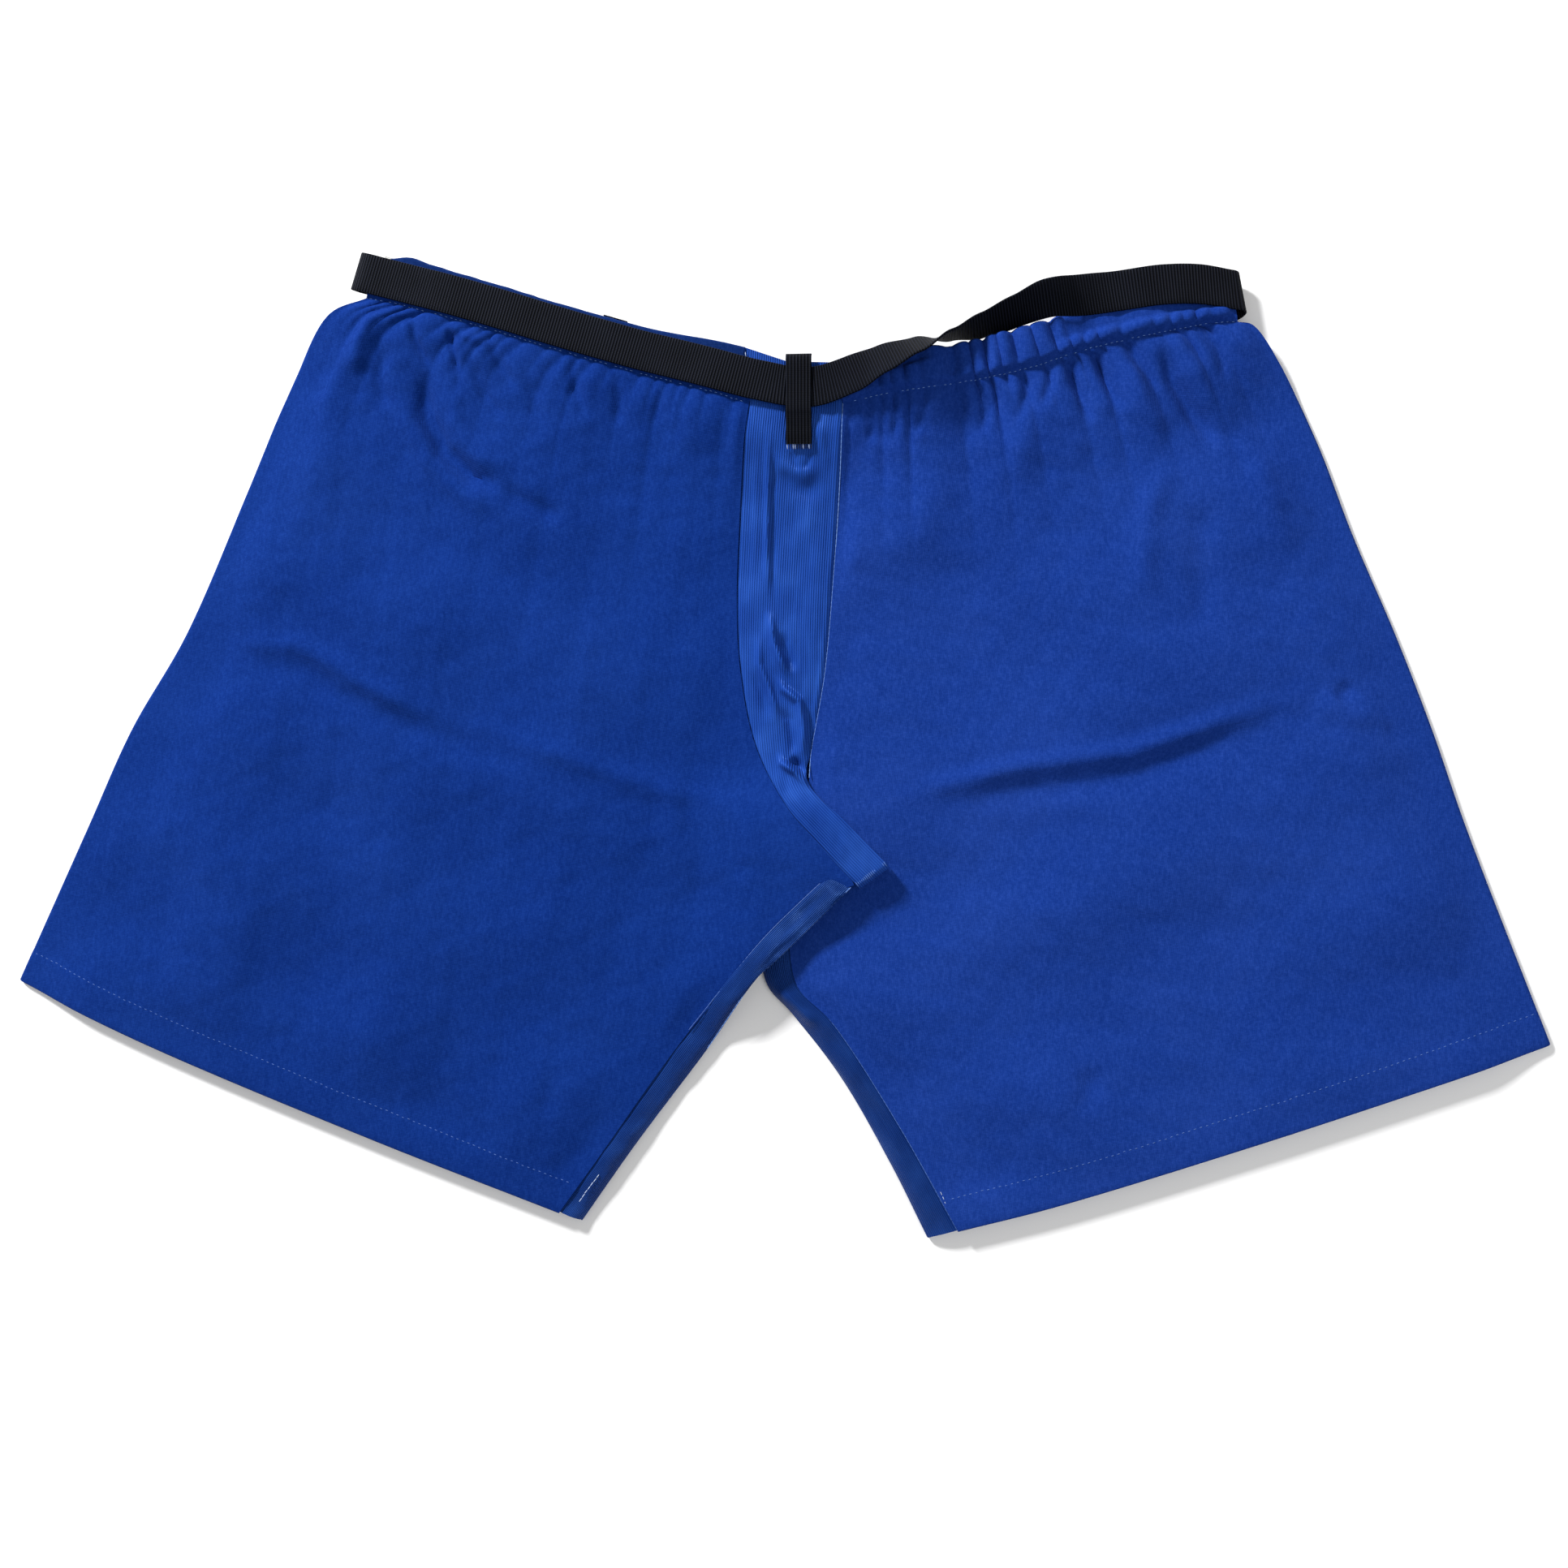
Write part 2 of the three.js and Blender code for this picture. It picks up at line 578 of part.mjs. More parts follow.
// ---- Waist tunnels and the elastic inside them ----
function addWaist(side, frontLine, backLine) {
  const slotWidth = elasticWidth + 2 * elasticPlay;
  const slotThick = elasticThick + 2 * elasticPlay;
  const frontLength = planCurve(frontLine).getLength();
  const frontHeight = frontCasingHeight(frontLength);
  const front = waistStations(frontLine, frontHeight, 20);
  const back = waistStations(backLine, backCasingHeight, 20);
  for (const [ply, stations] of [["front", front], ["back", back]]) {
    const tunnel = bandGeometry(stations, casingHeight, casingThick, slotWidth, slotThick);
    addNode(`${side}_${ply}_waist_tunnel`, tunnel, cloth(panelBlue));
  }

  // The elastic runs out along the front, turns round the side fold and comes back along the back.
  const outFront = waistStations(frontLine, frontHeight, 20, 0.02, 1);
  const outBack = waistStations(backLine, backCasingHeight, 20, 0.02, 1).reverse();
  const tip = outFront.at(-1);
  const root = outBack[0];
  const bend = (tip.at.z - root.at.z) / 2;
  const turn = [0.25, 0.5, 0.75].map((share) => {
    const angle = share * Math.PI;
    const outwardsBy = vec(tip.travel.x, tip.travel.y).normalize();
    const travel = outwardsBy.clone().multiplyScalar(Math.cos(angle)).setZ(-Math.sin(angle));
    const at = tip.at.clone().lerp(root.at, share);
    at.setZ(tip.at.z - bend * (1 - Math.cos(angle))).addScaledVector(outwardsBy, Math.sin(angle) * bend);
    const width = tip.width.clone().lerp(root.width, share).normalize();
    return { at, travel, width };
  });
  const returning = outBack.map((s) => ({ at: s.at, travel: s.travel.clone().negate(), width: s.width }));
  const elastic = bandGeometry([...outFront, ...turn, ...returning], elasticWidth, elasticThick);
  addNode(`${side}_waist_elastic`, elastic, cloth(elasticWhite));
}
addWaist("left", leftFrontWaist, leftBackWaist);
addWaist("right", rightFrontWaist, rightBackWaist);

// ---- Belt ----
// The belt's run over the front: its two ends turn round the side folds and reach a little way under.
function addBeltFront() {
  const overLeft = frontCasingHeight(planCurve(leftFrontWaist).getLength());
  const leftEnd = leftFrontWaist.at(-1);
  const rightEnd = rightFrontWaist.at(-1);
  const sideZ = casingSideZ + beltOverCasing + 0.4;
  const onLeft = Array.from({ length: 10 }, (_, i) => {
    const share = 0.9 - 0.09 * i;
    const at = planCurve(leftFrontWaist).getPointAt(share);
    return [at.x, at.y + 0.6, overLeft(at.x, at.y, share) + beltOverCasing + 0.25, -17, 0];
  });
  const route = [
    [leftEnd[0] + 20, leftEnd[1] - 2.5, beltBackZ, -17, 0],
    [leftEnd[0], leftEnd[1] + 2.5, beltBackZ, -17, 0],
    [leftEnd[0] - 10, leftEnd[1] + 4.5, mix(beltBackZ, sideZ, 0.12), -17, 0],
    [leftEnd[0] - 15, leftEnd[1] + 5.5, mix(beltBackZ, sideZ, 0.5), -17, 0],
    [leftEnd[0] - 10, leftEnd[1] + 3.5, mix(beltBackZ, sideZ, 0.9), -17, 0],
    [leftEnd[0] + 3, leftEnd[1] - 0.4, sideZ + 0.2, -17, 0],
    ...onLeft,
    ...spread([
      [2, 228, casingFrontZ + humpHeight + beltOverCasing + 0.4, -14, 0],
      [34, 223, casingFrontZ + humpHeight + beltOverCasing + 0.4, 4, 0],
    ]),
    ...beltTwist,
    [rightEnd[0] - 19, rightEnd[1] + 7.5, casingSideZ + beltOverCasing + 2.8, 4, -180],
    [rightEnd[0] + 1, rightEnd[1] + 4.5, sideZ + 0.2, 6, -180],
    [rightEnd[0] + 6, rightEnd[1] + 4, mix(beltBackZ, sideZ, 0.88), 9, -180],
    [rightEnd[0] + 8, rightEnd[1] + 3, mix(beltBackZ, sideZ, 0.5), 11, -180],
    [rightEnd[0] + 6, rightEnd[1] + 1.5, mix(beltBackZ, sideZ, 0.12), 12, -180],
    [rightEnd[0] - 2, rightEnd[1] - 1.5, beltBackZ, 13, -180],
    [rightEnd[0] - 22, rightEnd[1] - 6.5, beltBackZ, 13, -180],
  ];
  addWebbing("belt_front", route, 110);
}
addBeltFront();

// The belt's runs under the back of the waist. Each ends in a doubled loop round a bar of the buckle.
function addBeltBack() {
  const turnRadius = barRadius + layerGap + webbingThick / 2;
  const socketBar = buckleX - socketLength + barInset;
  const plugBar = buckleX + layerGap + plugLength - barInset;
  // Points round a bar, from under it to over it, on the side that way points to.
  const roundBar = (x, way) => [-1, -0.5, 0, 0.5, 1].map((share) => {
    const angle = (share * Math.PI) / 2;
    const z = buckleZ + turnRadius * Math.sin(angle);
    return [x + way * turnRadius * Math.cos(angle), buckleY, z, 0, 0];
  });
  const doubledZ = beltBackZ + webbingThick + layerGap;
  const [leftX, leftY] = leftFrontWaist.at(-1);
  const [rightX, rightY] = rightFrontWaist.at(-1);
  const leftRoute = [
    [leftX + 20.4, leftY - 2.6, beltBackZ, -17, 0],
    ...spread([
      [-180, 286, beltBackZ, -17, 0],
      [-120, 268, beltBackZ, -17, 0],
      [-84, 257.5, beltBackZ, -17, 0],
      [-60, 245.5, beltBackZ, -25, 0],
    ]),
    [buckleX - 60, buckleY + 15, beltBackZ, -27, 0],
    [buckleX - 49, buckleY + 4, beltBackZ, -14, 0],
    [socketBar - 6, buckleY + 0.4, beltBackZ, -2, 0],
    ...roundBar(socketBar, 1),
    [socketBar - 6, buckleY + 0.4, buckleZ + 2, -2, 0],
    [buckleX - 49, buckleY + 4, doubledZ + 1.4, -14, 0],
    [socketBar - strapOverlap, buckleY + 15, doubledZ + 0.3, -26, 0],
  ];
  addWebbing("belt_back_left", leftRoute, 90);
  const strapRoute = [
    ...spread([
      [129.6, 236.6, beltBackZ, 14, 0],
      [104, 230, beltBackZ, 15, 0],
    ]),
    [buckleX + 58, buckleY + 7.5, beltBackZ, 15, 0],
    [buckleX + 36, buckleY + 1.5, beltBackZ, 8, 0],
    [plugBar + 6, buckleY, beltBackZ, 0, 0],
    ...roundBar(plugBar, -1),
    [plugBar + 6, buckleY, buckleZ + 2, 0, 0],
    [buckleX + 36, buckleY + 1.5, doubledZ + 1, 8, 0],
    [plugBar + strapOverlap, buckleY + 3.8, doubledZ + 0.3, 11, 0],
  ];
  addWebbing("belt_plug_strap", strapRoute, 70);
  const rightRoute = [
    ...spread([
      [130, 236.7, beltBackZ, 14, 0],
      [171, 246.5, beltBackZ, 15, 0],
      [203, 255, beltBackZ, 15, 0],
      [259, 267.5, beltBackZ, 13, 0],
    ]),
    [rightX - 22.4, rightY - 6.6, beltBackZ, 13, 0],
  ];
  addWebbing("belt_back_right", rightRoute, 30);
}
addBeltBack();

// ---- Belt loops ----
function addLoops() {
  const tape = cloth(webbingBlack, 0.75);
  const overCloth = clothWall / 2 + layerGap + loopTapeThick / 2;
  const beltTop = casingFrontZ + humpHeight + beltOverCasing + webbingThick / 2;
  const overBelt = beltTop + layerGap + loopTapeThick / 2 + 0.6;
  const [[loopX, loopY]] = spread([[27, 224]]); // where the belt passes under the loop
  const halfBelt = webbingWidth / 2;
  const onGusset = (y) => [loopX, y, frontGussetHeight(loopX, y) + gussetBulge + overCloth, -90, 0];
  const front = [
    [loopX, loopY + halfBelt + 7.8, casingFrontZ + humpHeight, -90, 0],
    [loopX, loopY + halfBelt + 7.3, overBelt - 2, -90, 0],
    [loopX, loopY + halfBelt + 4.8, overBelt, -90, 0],
    [loopX, loopY + 2, overBelt, -90, 0],
    [loopX, loopY - halfBelt - 2.3, overBelt, -90, 0],
    [loopX, loopY - halfBelt - 5.8, overBelt - 1, -90, 0],
    onGusset(loopY - halfBelt - 12.3),
    onGusset(loopY - halfBelt - 18.3),
    onGusset(loopY - halfBelt - 23.8),
  ];
  addNode("centre_belt_loop", bandGeometry(bandStations(front, 36), loopTapeWidth, loopTapeThick), tape);

  // A loop under the back run, whose ends stand up beside the waist tunnel.
  const underLoop = (name, x, y, heading) => {
    const angle = (heading * Math.PI) / 180;
    const reach = Math.max(webbingWidth, casingHeight) / 2 + layerGap + loopTapeThick / 2 + 1;
    const low = loopTapeThick / 2 + 0.13;
    const corner = [[reach, 2.6], [reach - 0.4, 1.25], [reach - 1.3, low], [reach - 5, low]];
    const mirrored = corner.map(([side, z]) => [-side, z]).reverse();
    const profile = [[reach, 5.8], ...corner, [0, low], ...mirrored, [-reach, 3.4]];
    const route = profile.map(([side, z]) => {
      const [aside, along] = [-side * Math.sin(angle), side * Math.cos(angle)];
      return [x + aside, y + along, z, heading - 90, 0];
    });
    addNode(name, bandGeometry(bandStations(route, 26), loopTapeWidth, loopTapeThick), tape);
  };
  const [leftLoop, rightLoop] = spread([[-98, 261.8], [152, 242]]);
  underLoop("left_belt_loop", ...leftLoop, -17);
  underLoop("right_belt_loop", ...rightLoop, 14);
}
addLoops();

// ---- Side-release buckle, modelled about the middle of the socket's mouth ----
function addBuckle() {
  const plastic = () => new THREE.MeshStandardMaterial({ color: plasticBlack, roughness: 0.5, metalness: 0 });
  const halfWidth = buckleWidth / 2;
  const halfThick = buckleThick / 2;
  const cavityHalf = halfThick - plateThick;
  const strapHalf = webbingWidth / 2 + 0.7;
  const place = (mesh) => mesh.position.set(buckleX, buckleY, buckleZ);

  const windowEnd = -windowStart - windowLength;
  const pocketEnd = -cavityDepth - pocketWall;
  const socketFrom = [-socketLength, -halfWidth, -halfThick];
  const socket = roundedPlate(socketFrom, [0, halfWidth, halfThick], buckleCorner)
    .subtract(box([-cavityDepth, -throatHalf, -cavityHalf], [1, throatHalf, cavityHalf]))
    .subtract(box([windowEnd, -halfWidth - 1, -cavityHalf], [-windowStart, halfWidth + 1, cavityHalf]))
    .subtract(box([-socketLength - 1, -strapHalf, -halfThick - 1], [pocketEnd, strapHalf, halfThick + 1]))
    .add(bar(-socketLength + barInset, strapHalf + 1, barRadius));
  place(addNode("buckle_socket", fromSolid(socket), plastic()));

  const plugEnd = layerGap + plugLength;
  const pocketStart = layerGap + plugFlange;
  const plug = roundedPlate([layerGap, -halfWidth, -halfThick], [plugEnd, halfWidth, halfThick], buckleCorner)
    .subtract(box([pocketStart, -strapHalf, -halfThick - 1], [plugEnd + 1, strapHalf, halfThick + 1]))
    .add(bar(plugEnd - barInset, strapHalf + 1, barRadius))
    .add(box([-tongueReach, -tongueHalf, -cavityHalf + prongPlay], [1, tongueHalf, cavityHalf - prongPlay]));
  place(addNode("buckle_plug", fromSolid(plug), plastic()));

  // Each arm: a beam from the plug, then the pad that fills the window and catches on its shoulder.
  for (const [name, side] of [["buckle_arm_upper", 1], ["buckle_arm_lower", -1]]) {
    const shoulder = windowStart + prongPlay;
    const padOuter = throatHalf + armCatch;
    const outline = [
      [0, armRoot - armBeam / 2],
      [0, armRoot + armBeam / 2],
      [-shoulder, armRoot + armBeam / 2],
      [-shoulder, padOuter],
      [-windowStart - windowLength + 2, padOuter],
      [-windowStart - windowLength, throatHalf - 0.6],
      [-armReach, throatHalf - 2],
      [-armReach, armRoot + 0.6],
      [-shoulder, armRoot - armBeam / 2],
    ].map(([x, y]) => new THREE.Vector2(x, y * side));
    const depth = 2 * (cavityHalf - prongPlay);
    const arm = new THREE.ExtrudeGeometry(new THREE.Shape(outline), { depth, bevelEnabled: false });
    arm.translate(0, 0, -depth / 2);
    place(addNode(name, arm, plastic()));
  }
}
addBuckle();

export default shorts;
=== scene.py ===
import math

import bpy
import numpy as np
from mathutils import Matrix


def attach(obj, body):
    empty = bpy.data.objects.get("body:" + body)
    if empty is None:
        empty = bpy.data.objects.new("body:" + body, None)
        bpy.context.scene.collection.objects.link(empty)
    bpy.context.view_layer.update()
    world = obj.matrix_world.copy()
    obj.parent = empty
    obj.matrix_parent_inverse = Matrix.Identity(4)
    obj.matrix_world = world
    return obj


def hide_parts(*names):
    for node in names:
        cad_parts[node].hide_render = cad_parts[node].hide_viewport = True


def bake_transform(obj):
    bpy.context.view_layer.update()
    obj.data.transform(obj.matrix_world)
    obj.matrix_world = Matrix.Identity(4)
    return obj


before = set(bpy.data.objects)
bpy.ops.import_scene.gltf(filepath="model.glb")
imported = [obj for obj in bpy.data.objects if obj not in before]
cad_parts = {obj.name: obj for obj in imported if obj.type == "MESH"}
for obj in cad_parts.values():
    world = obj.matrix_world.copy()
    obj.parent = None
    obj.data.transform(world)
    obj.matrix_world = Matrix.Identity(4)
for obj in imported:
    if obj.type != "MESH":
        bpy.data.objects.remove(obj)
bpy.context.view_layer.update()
print("frame loaded,", len(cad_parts), "parts")

# Plan sizes below are in millimetres, x across the legs and y towards the waist. Meshes are in metres.
mm = 0.001

# finishes


class Finish:
    # a material, with short ways to add the nodes that its look is made from
    def __init__(self, name):
        self.material = bpy.data.materials.new(name)
        self.material.use_nodes = True
        self.nodes = self.material.node_tree.nodes
        self.links = self.material.node_tree.links
        self.shader = self.nodes["Principled BSDF"]

    def settle(self, values):
        for socket, value in values.items():
            self.shader.inputs[socket].default_value = value

    def feed(self, output, socket):
        self.links.new(output, self.shader.inputs[socket])

    def add(self, kind, fixed, fed):
        node = self.nodes.new("ShaderNode" + kind)
        for socket, value in fixed.items():
            node.inputs[socket].default_value = value
        for socket, output in fed.items():
            self.links.new(output, node.inputs[socket])
        return node

    def placed(self, output, scale, turn=0.0):
        fixed = {"Scale": scale, "Rotation": (0.0, 0.0, math.radians(turn))}
        return self.add("Mapping", fixed, {"Vector": output}).outputs["Vector"]

    def onObject(self, scale=(1.0, 1.0, 1.0), turn=0.0):
        return self.placed(self.add("TexCoord", {}, {}).outputs["Object"], scale, turn)

    def onCloth(self, scale=(1.0, 1.0, 1.0)):
        flat = self.add("UVMap", {}, {})
        flat.uv_map = "cloth"
        return self.placed(flat.outputs["UV"], scale)

    def noise(self, vector, scale, detail=2.0, roughness=0.5):
        fixed = {"Scale": scale, "Detail": detail, "Roughness": roughness}
        return self.add("TexNoise", fixed, {"Vector": vector}).outputs["Fac"]

    def bands(self, vector, pitch, axis, wobble):
        # stripes that repeat every pitch, in the units of the vector
        fixed = {"Scale": 0.31416 / pitch, "Distortion": wobble, "Detail": 1.0}
        wave = self.add("TexWave", fixed, {"Vector": vector})
        wave.wave_type = "BANDS"
        wave.bands_direction = axis
        wave.wave_profile = "SIN"
        return wave.outputs["Fac"]

    def ramp(self, factor, *stops):
        ramp = self.add("ValToRGB", {}, {"Fac": factor})
        for element, (position, colour) in zip(ramp.color_ramp.elements, (stops[0], stops[-1])):
            element.position = position
            element.color = (*colour, 1.0)
        for position, colour in stops[1:-1]:
            ramp.color_ramp.elements.new(position).color = (*colour, 1.0)
        return ramp.outputs["Color"]

    def blend(self, share, first, second, kind="RGBA"):
        start, end, result = (6, 7, 2) if kind == "RGBA" else (2, 3, 0)
        mixer = self.add("Mix", {0: share}, {start: first, end: second})
        mixer.data_type = kind
        return mixer.outputs[result]

    def spread(self, value, low, high):
        return self.add("MapRange", {"To Min": low, "To Max": high}, {"Value": value}).outputs["Result"]

    def bump(self, height, strength, distance):
        fixed = {"Strength": strength, "Distance": distance}
        self.feed(self.add("Bump", fixed, {"Height": height}).outputs["Normal"], "Normal")


def shades(settings, colourScale):
    return [tuple(c * t for c, t in zip(settings[tone], colourScale)) for tone in ("dark", "middle", "light")]


legCloth = {
    "dark": (0.0038, 0.0240, 0.180),
    "middle": (0.0078, 0.0370, 0.236),
    "light": (0.0165, 0.0570, 0.310),
    "yarnPitch": 0.00085,
    "shader": {
        "Roughness": 0.92,
        "Specular IOR Level": 0.06,
        "Specular Tint": (0.2, 0.4, 1.0, 1.0),
        "Sheen Weight": 0.05,
        "Sheen Roughness": 0.55,
        "Sheen Tint": (0.25, 0.42, 1.0, 1.0),
    },
}


def makeLegCloth(name, colourScale, turn):
    cloth = Finish(name)
    steady = cloth.onObject(turn=turn)
    grain = cloth.onObject((1.0, 0.32, 1.0), turn)
    blotches = cloth.noise(steady, 9.0, 4.0, 0.6)
    streaks = cloth.noise(grain, 520.0, 3.0, 0.75)
    speckle = cloth.noise(steady, 480.0, 3.0, 0.8)
    dark, middle, light = shades(legCloth, colourScale)
    broad = cloth.ramp(blotches, (0.30, dark), (0.52, middle), (0.74, light))
    fine = cloth.ramp(streaks, (0.36, dark), (0.5, middle), (0.64, light))
    dots = cloth.ramp(speckle, (0.38, dark), (0.52, middle), (0.66, light))
    cloth.feed(cloth.blend(0.4, cloth.blend(0.5, broad, fine), dots), "Base Color")
    warp = cloth.bands(steady, legCloth["yarnPitch"], "X", 0.6)
    weft = cloth.bands(steady, legCloth["yarnPitch"] * 1.2, "Y", 0.6)
    cloth.bump(cloth.blend(0.45, warp, weft, "FLOAT"), 0.32, 0.0003)
    cloth.settle(legCloth["shader"])
    return cloth.material


satin = {
    "dark": (0.0030, 0.0190, 0.145),
    "middle": (0.0075, 0.0380, 0.220),
    # the light tone is kept bright for the painted highlight along the wales; the patch and thread ramps
    # share it
    "light": (0.0230, 0.0880, 0.400),
    "walePitch": 0.0015,
    "shader": {
        "IOR": 1.38,
        "Specular IOR Level": 0.45,
        "Specular Tint": (0.12, 0.34, 1.0, 1.0),
        "Sheen Weight": 0.04,
        "Sheen Roughness": 0.35,
        "Sheen Tint": (0.35, 0.55, 1.0, 1.0),
    },
}


def makeSatin(name, brighter):
    cloth = Finish(name)
    flat = cloth.onCloth()
    patches = cloth.noise(flat, 28.0)
    threads = cloth.noise(cloth.onCloth((1.0, 0.05, 1.0)), 700.0, 2.0, 0.6)
    wales = cloth.bands(flat, satin["walePitch"], "X", 0.35)
    dark, middle, light = shades(satin, (brighter, brighter, brighter))
    ground = cloth.ramp(patches, (0.30, dark), (0.50, middle), (0.78, light))
    # the wale stripes in the colour are painted highlight on the rib tops and painted shade between them,
    # beside the bump
    ribs = cloth.ramp(wales, (0.0, dark), (0.55, middle), (1.0, light))
    fine = cloth.ramp(threads, (0.25, dark), (0.55, middle), (0.85, light))
    cloth.feed(cloth.blend(0.25, cloth.blend(0.42, ground, ribs), fine), "Base Color")
    cloth.feed(cloth.spread(patches, 0.28, 0.5), "Roughness")
    cloth.bump(cloth.blend(0.2, wales, threads, "FLOAT"), 0.9, 0.0005)
    cloth.settle(satin["shader"])
    return cloth.material


webbing = {
    # valley and ridge are painted shade in the rib grooves and painted highlight on the rib tops of the black
    # webbing
    "valley": (0.0003, 0.0004, 0.0008),
    "ridge": (0.0125, 0.0152, 0.0265),
    "beltRib": 0.0019,
    "loopRib": 0.0021,
    "shader": {"Roughness": 0.62, "Specular IOR Level": 0.05},
}


def makeWebbing(name, ribPitch, axis, brighter=1.0):
    weave = Finish(name)
    flat = weave.onCloth()
    ribs = weave.bands(flat, ribPitch, axis, 0.12)
    cross = weave.bands(flat, ribPitch * 0.55, "Y" if axis == "X" else "X", 0.3)
    low = webbing["valley"]
    high = tuple(c * brighter for c in webbing["ridge"])
    half = tuple((a + b) / 2 for a, b in zip(low, high))
    # the rib stripes in the colour carry the painted shade and highlight of the ribs, beside the bump
    colour = weave.ramp(ribs, (0.35, low), (0.72, half), (1.0, high))
    dusty = weave.ramp(weave.noise(flat, 1500.0, 2.0, 0.7), (0.3, low), (0.8, high))
    worn = weave.ramp(weave.noise(flat, 40.0), (0.35, low), (0.8, high))
    weave.feed(weave.blend(0.15, weave.blend(0.22, colour, dusty), worn), "Base Color")
    weave.bump(weave.blend(0.15, ribs, cross, "FLOAT"), 1.0, 0.0008)
    weave.settle(webbing["shader"])
    return weave.material


threads = {
    "lightThread": (0.12, 0.25, 0.62),
    "hemThread": (0.075, 0.16, 0.45),
    "whiteThread": (0.55, 0.66, 0.85),
    "blackThread": (0.012, 0.013, 0.018),
}


def makeThread(name, colour):
    thread = Finish(name)
    twist = thread.noise(thread.onObject(), 2500.0, 1.0)
    thread.feed(thread.ramp(twist, (0.3, tuple(c * 0.7 for c in colour)), (0.7, colour)), "Base Color")
    thread.settle({"Roughness": 0.6})
    return thread.material


elastic = {
    "cordPitch": 0.0016,
    "cords": ((0.42, 0.42, 0.40), (0.80, 0.80, 0.77)),
    "soil": ((0.5, 0.5, 0.48), (0.85, 0.85, 0.82)),
}


def makeElastic(name):
    knit = Finish(name)
    steady = knit.onObject(turn=15.0)
    cords = knit.bands(steady, elastic["cordPitch"], "Y", 0.2)
    # the cord stripes in the colour are painted shade in the grooves between the cords
    colour = knit.ramp(cords, (0.0, elastic["cords"][0]), (1.0, elastic["cords"][1]))
    loops = knit.noise(steady, 900.0, 2.0, 0.6)
    soil = knit.ramp(loops, (0.3, elastic["soil"][0]), (0.8, elastic["soil"][1]))
    knit.feed(knit.blend(0.3, colour, soil), "Base Color")
    knit.bump(cords, 0.5, 0.0003)
    knit.settle({"Roughness": 0.8})
    return knit.material


nylon = {"dark": (0.006, 0.006, 0.008), "light": (0.020, 0.020, 0.024)}


def makeNylon(name):
    plastic = Finish(name)
    steady = plastic.onObject()
    grain = plastic.noise(steady, 1800.0, 3.0, 0.6)
    scuffs = plastic.noise(steady, 120.0, 3.0, 0.6)
    plastic.feed(plastic.ramp(scuffs, (0.3, nylon["dark"]), (0.8, nylon["light"])), "Base Color")
    plastic.feed(plastic.spread(scuffs, 0.36, 0.58), "Roughness")
    plastic.bump(grain, 0.18, 0.0001)
    return plastic.material


# the left leg's copy of the cloth is scaled darker than the right's: painted shade for the left leg lying
# darker under the light
leftLegClothShaded = makeLegCloth("leftLegClothShaded", (0.48, 0.66, 0.72), -8.0)
rightLegCloth = makeLegCloth("rightLegCloth", (0.98, 0.93, 0.94), 6.0)
# the cloth's inside face, scaled darker: partly the duller wrong side of the cloth, partly painted shade
# inside the waist tunnel
wrongSideAndShade = makeLegCloth("wrongSideAndShade", (0.55, 0.50, 0.42), 0.0)
gussetSatin = makeSatin("gussetSatin", 1.24)
stripSatin = makeSatin("stripSatin", 0.68)
beltWebbing = makeWebbing("beltWebbing", webbing["beltRib"], "X")
loopTape = makeWebbing("loopTape", webbing["loopRib"], "Y", 0.8)
lightThread, hemThread, whiteThread, blackThread = (makeThread(*thread) for thread in threads.items())
buckleNylon = makeNylon("buckleNylon")
waistElastic = makeElastic("waistElastic")
print("finishes ready")

# camera, floor and light

studio = {
    "cameraAt": (0.0872, -0.029, 1.0175),
    "cameraTilt": 4.0,  # degrees off straight down
    "lens": 36.0,
    "sensor": 36.0,
    "floorSize": 9.0,
    "floorDrop": -0.0003,
    "paper": {"Base Color": (0.93, 0.93, 0.93, 1.0), "Roughness": 0.95, "Specular IOR Level": 0.1},
    "skyStrength": 0.36,
    "key": {"at": (-1.7, 2.1, 1.4), "size": 0.4, "power": 165.0},
    "fill": {"at": (1.3, -0.6, 2.2), "size": 2.2, "power": 22.0},
}


def addToScene(name, data, place=(0.0, 0.0, 0.0)):
    made = bpy.data.objects.new(name, data)
    bpy.context.scene.collection.objects.link(made)
    made.location = place
    return made


def addAreaLight(name, settings):
    data = bpy.data.lights.new(name, "AREA")
    data.size = settings["size"]
    data.energy = settings["power"]
    lamp = addToScene(name, data, settings["at"])
    lamp.rotation_euler = lamp.location.to_track_quat("Z", "Y").to_euler()  # aimed at the origin


def buildStudio():
    scene = bpy.context.scene
    data = bpy.data.cameras.new("camera")
    data.lens = studio["lens"]
    data.sensor_width = studio["sensor"]
    scene.camera = addToScene("camera", data, studio["cameraAt"])
    scene.camera.rotation_euler = (0.0, math.radians(studio["cameraTilt"]), 0.0)
    scene.view_settings.view_transform = "Standard"

    bpy.ops.object.select_all(action="DESELECT")
    bpy.ops.mesh.primitive_plane_add(size=studio["floorSize"], location=(0.0, 0.0, studio["floorDrop"]))
    floor = bpy.context.object
    floor.name = "floor"
    paper = Finish("floorPaper")
    paper.settle(studio["paper"])
    floor.data.materials.append(paper.material)

    sky = bpy.data.worlds.new("sky")
    sky.use_nodes = True
    sky.node_tree.nodes["Background"].inputs["Color"].default_value = (1.0, 1.0, 1.0, 1.0)
    sky.node_tree.nodes["Background"].inputs["Strength"].default_value = studio["skyStrength"]
    scene.world = sky
    addAreaLight("keyLight", studio["key"])
    addAreaLight("fillLight", studio["fill"])


buildStudio()
print("studio ready")

# curves, folds and mesh helpers


def ease(t):
    t = np.clip(t, 0.0, 1.0)
    return t * t * (3.0 - 2.0 * t)


def mix(a, b, t):
    return a + (b - a) * t


def unit(vectors):
    return vectors / np.linalg.norm(vectors, axis=-1, keepdims=True)


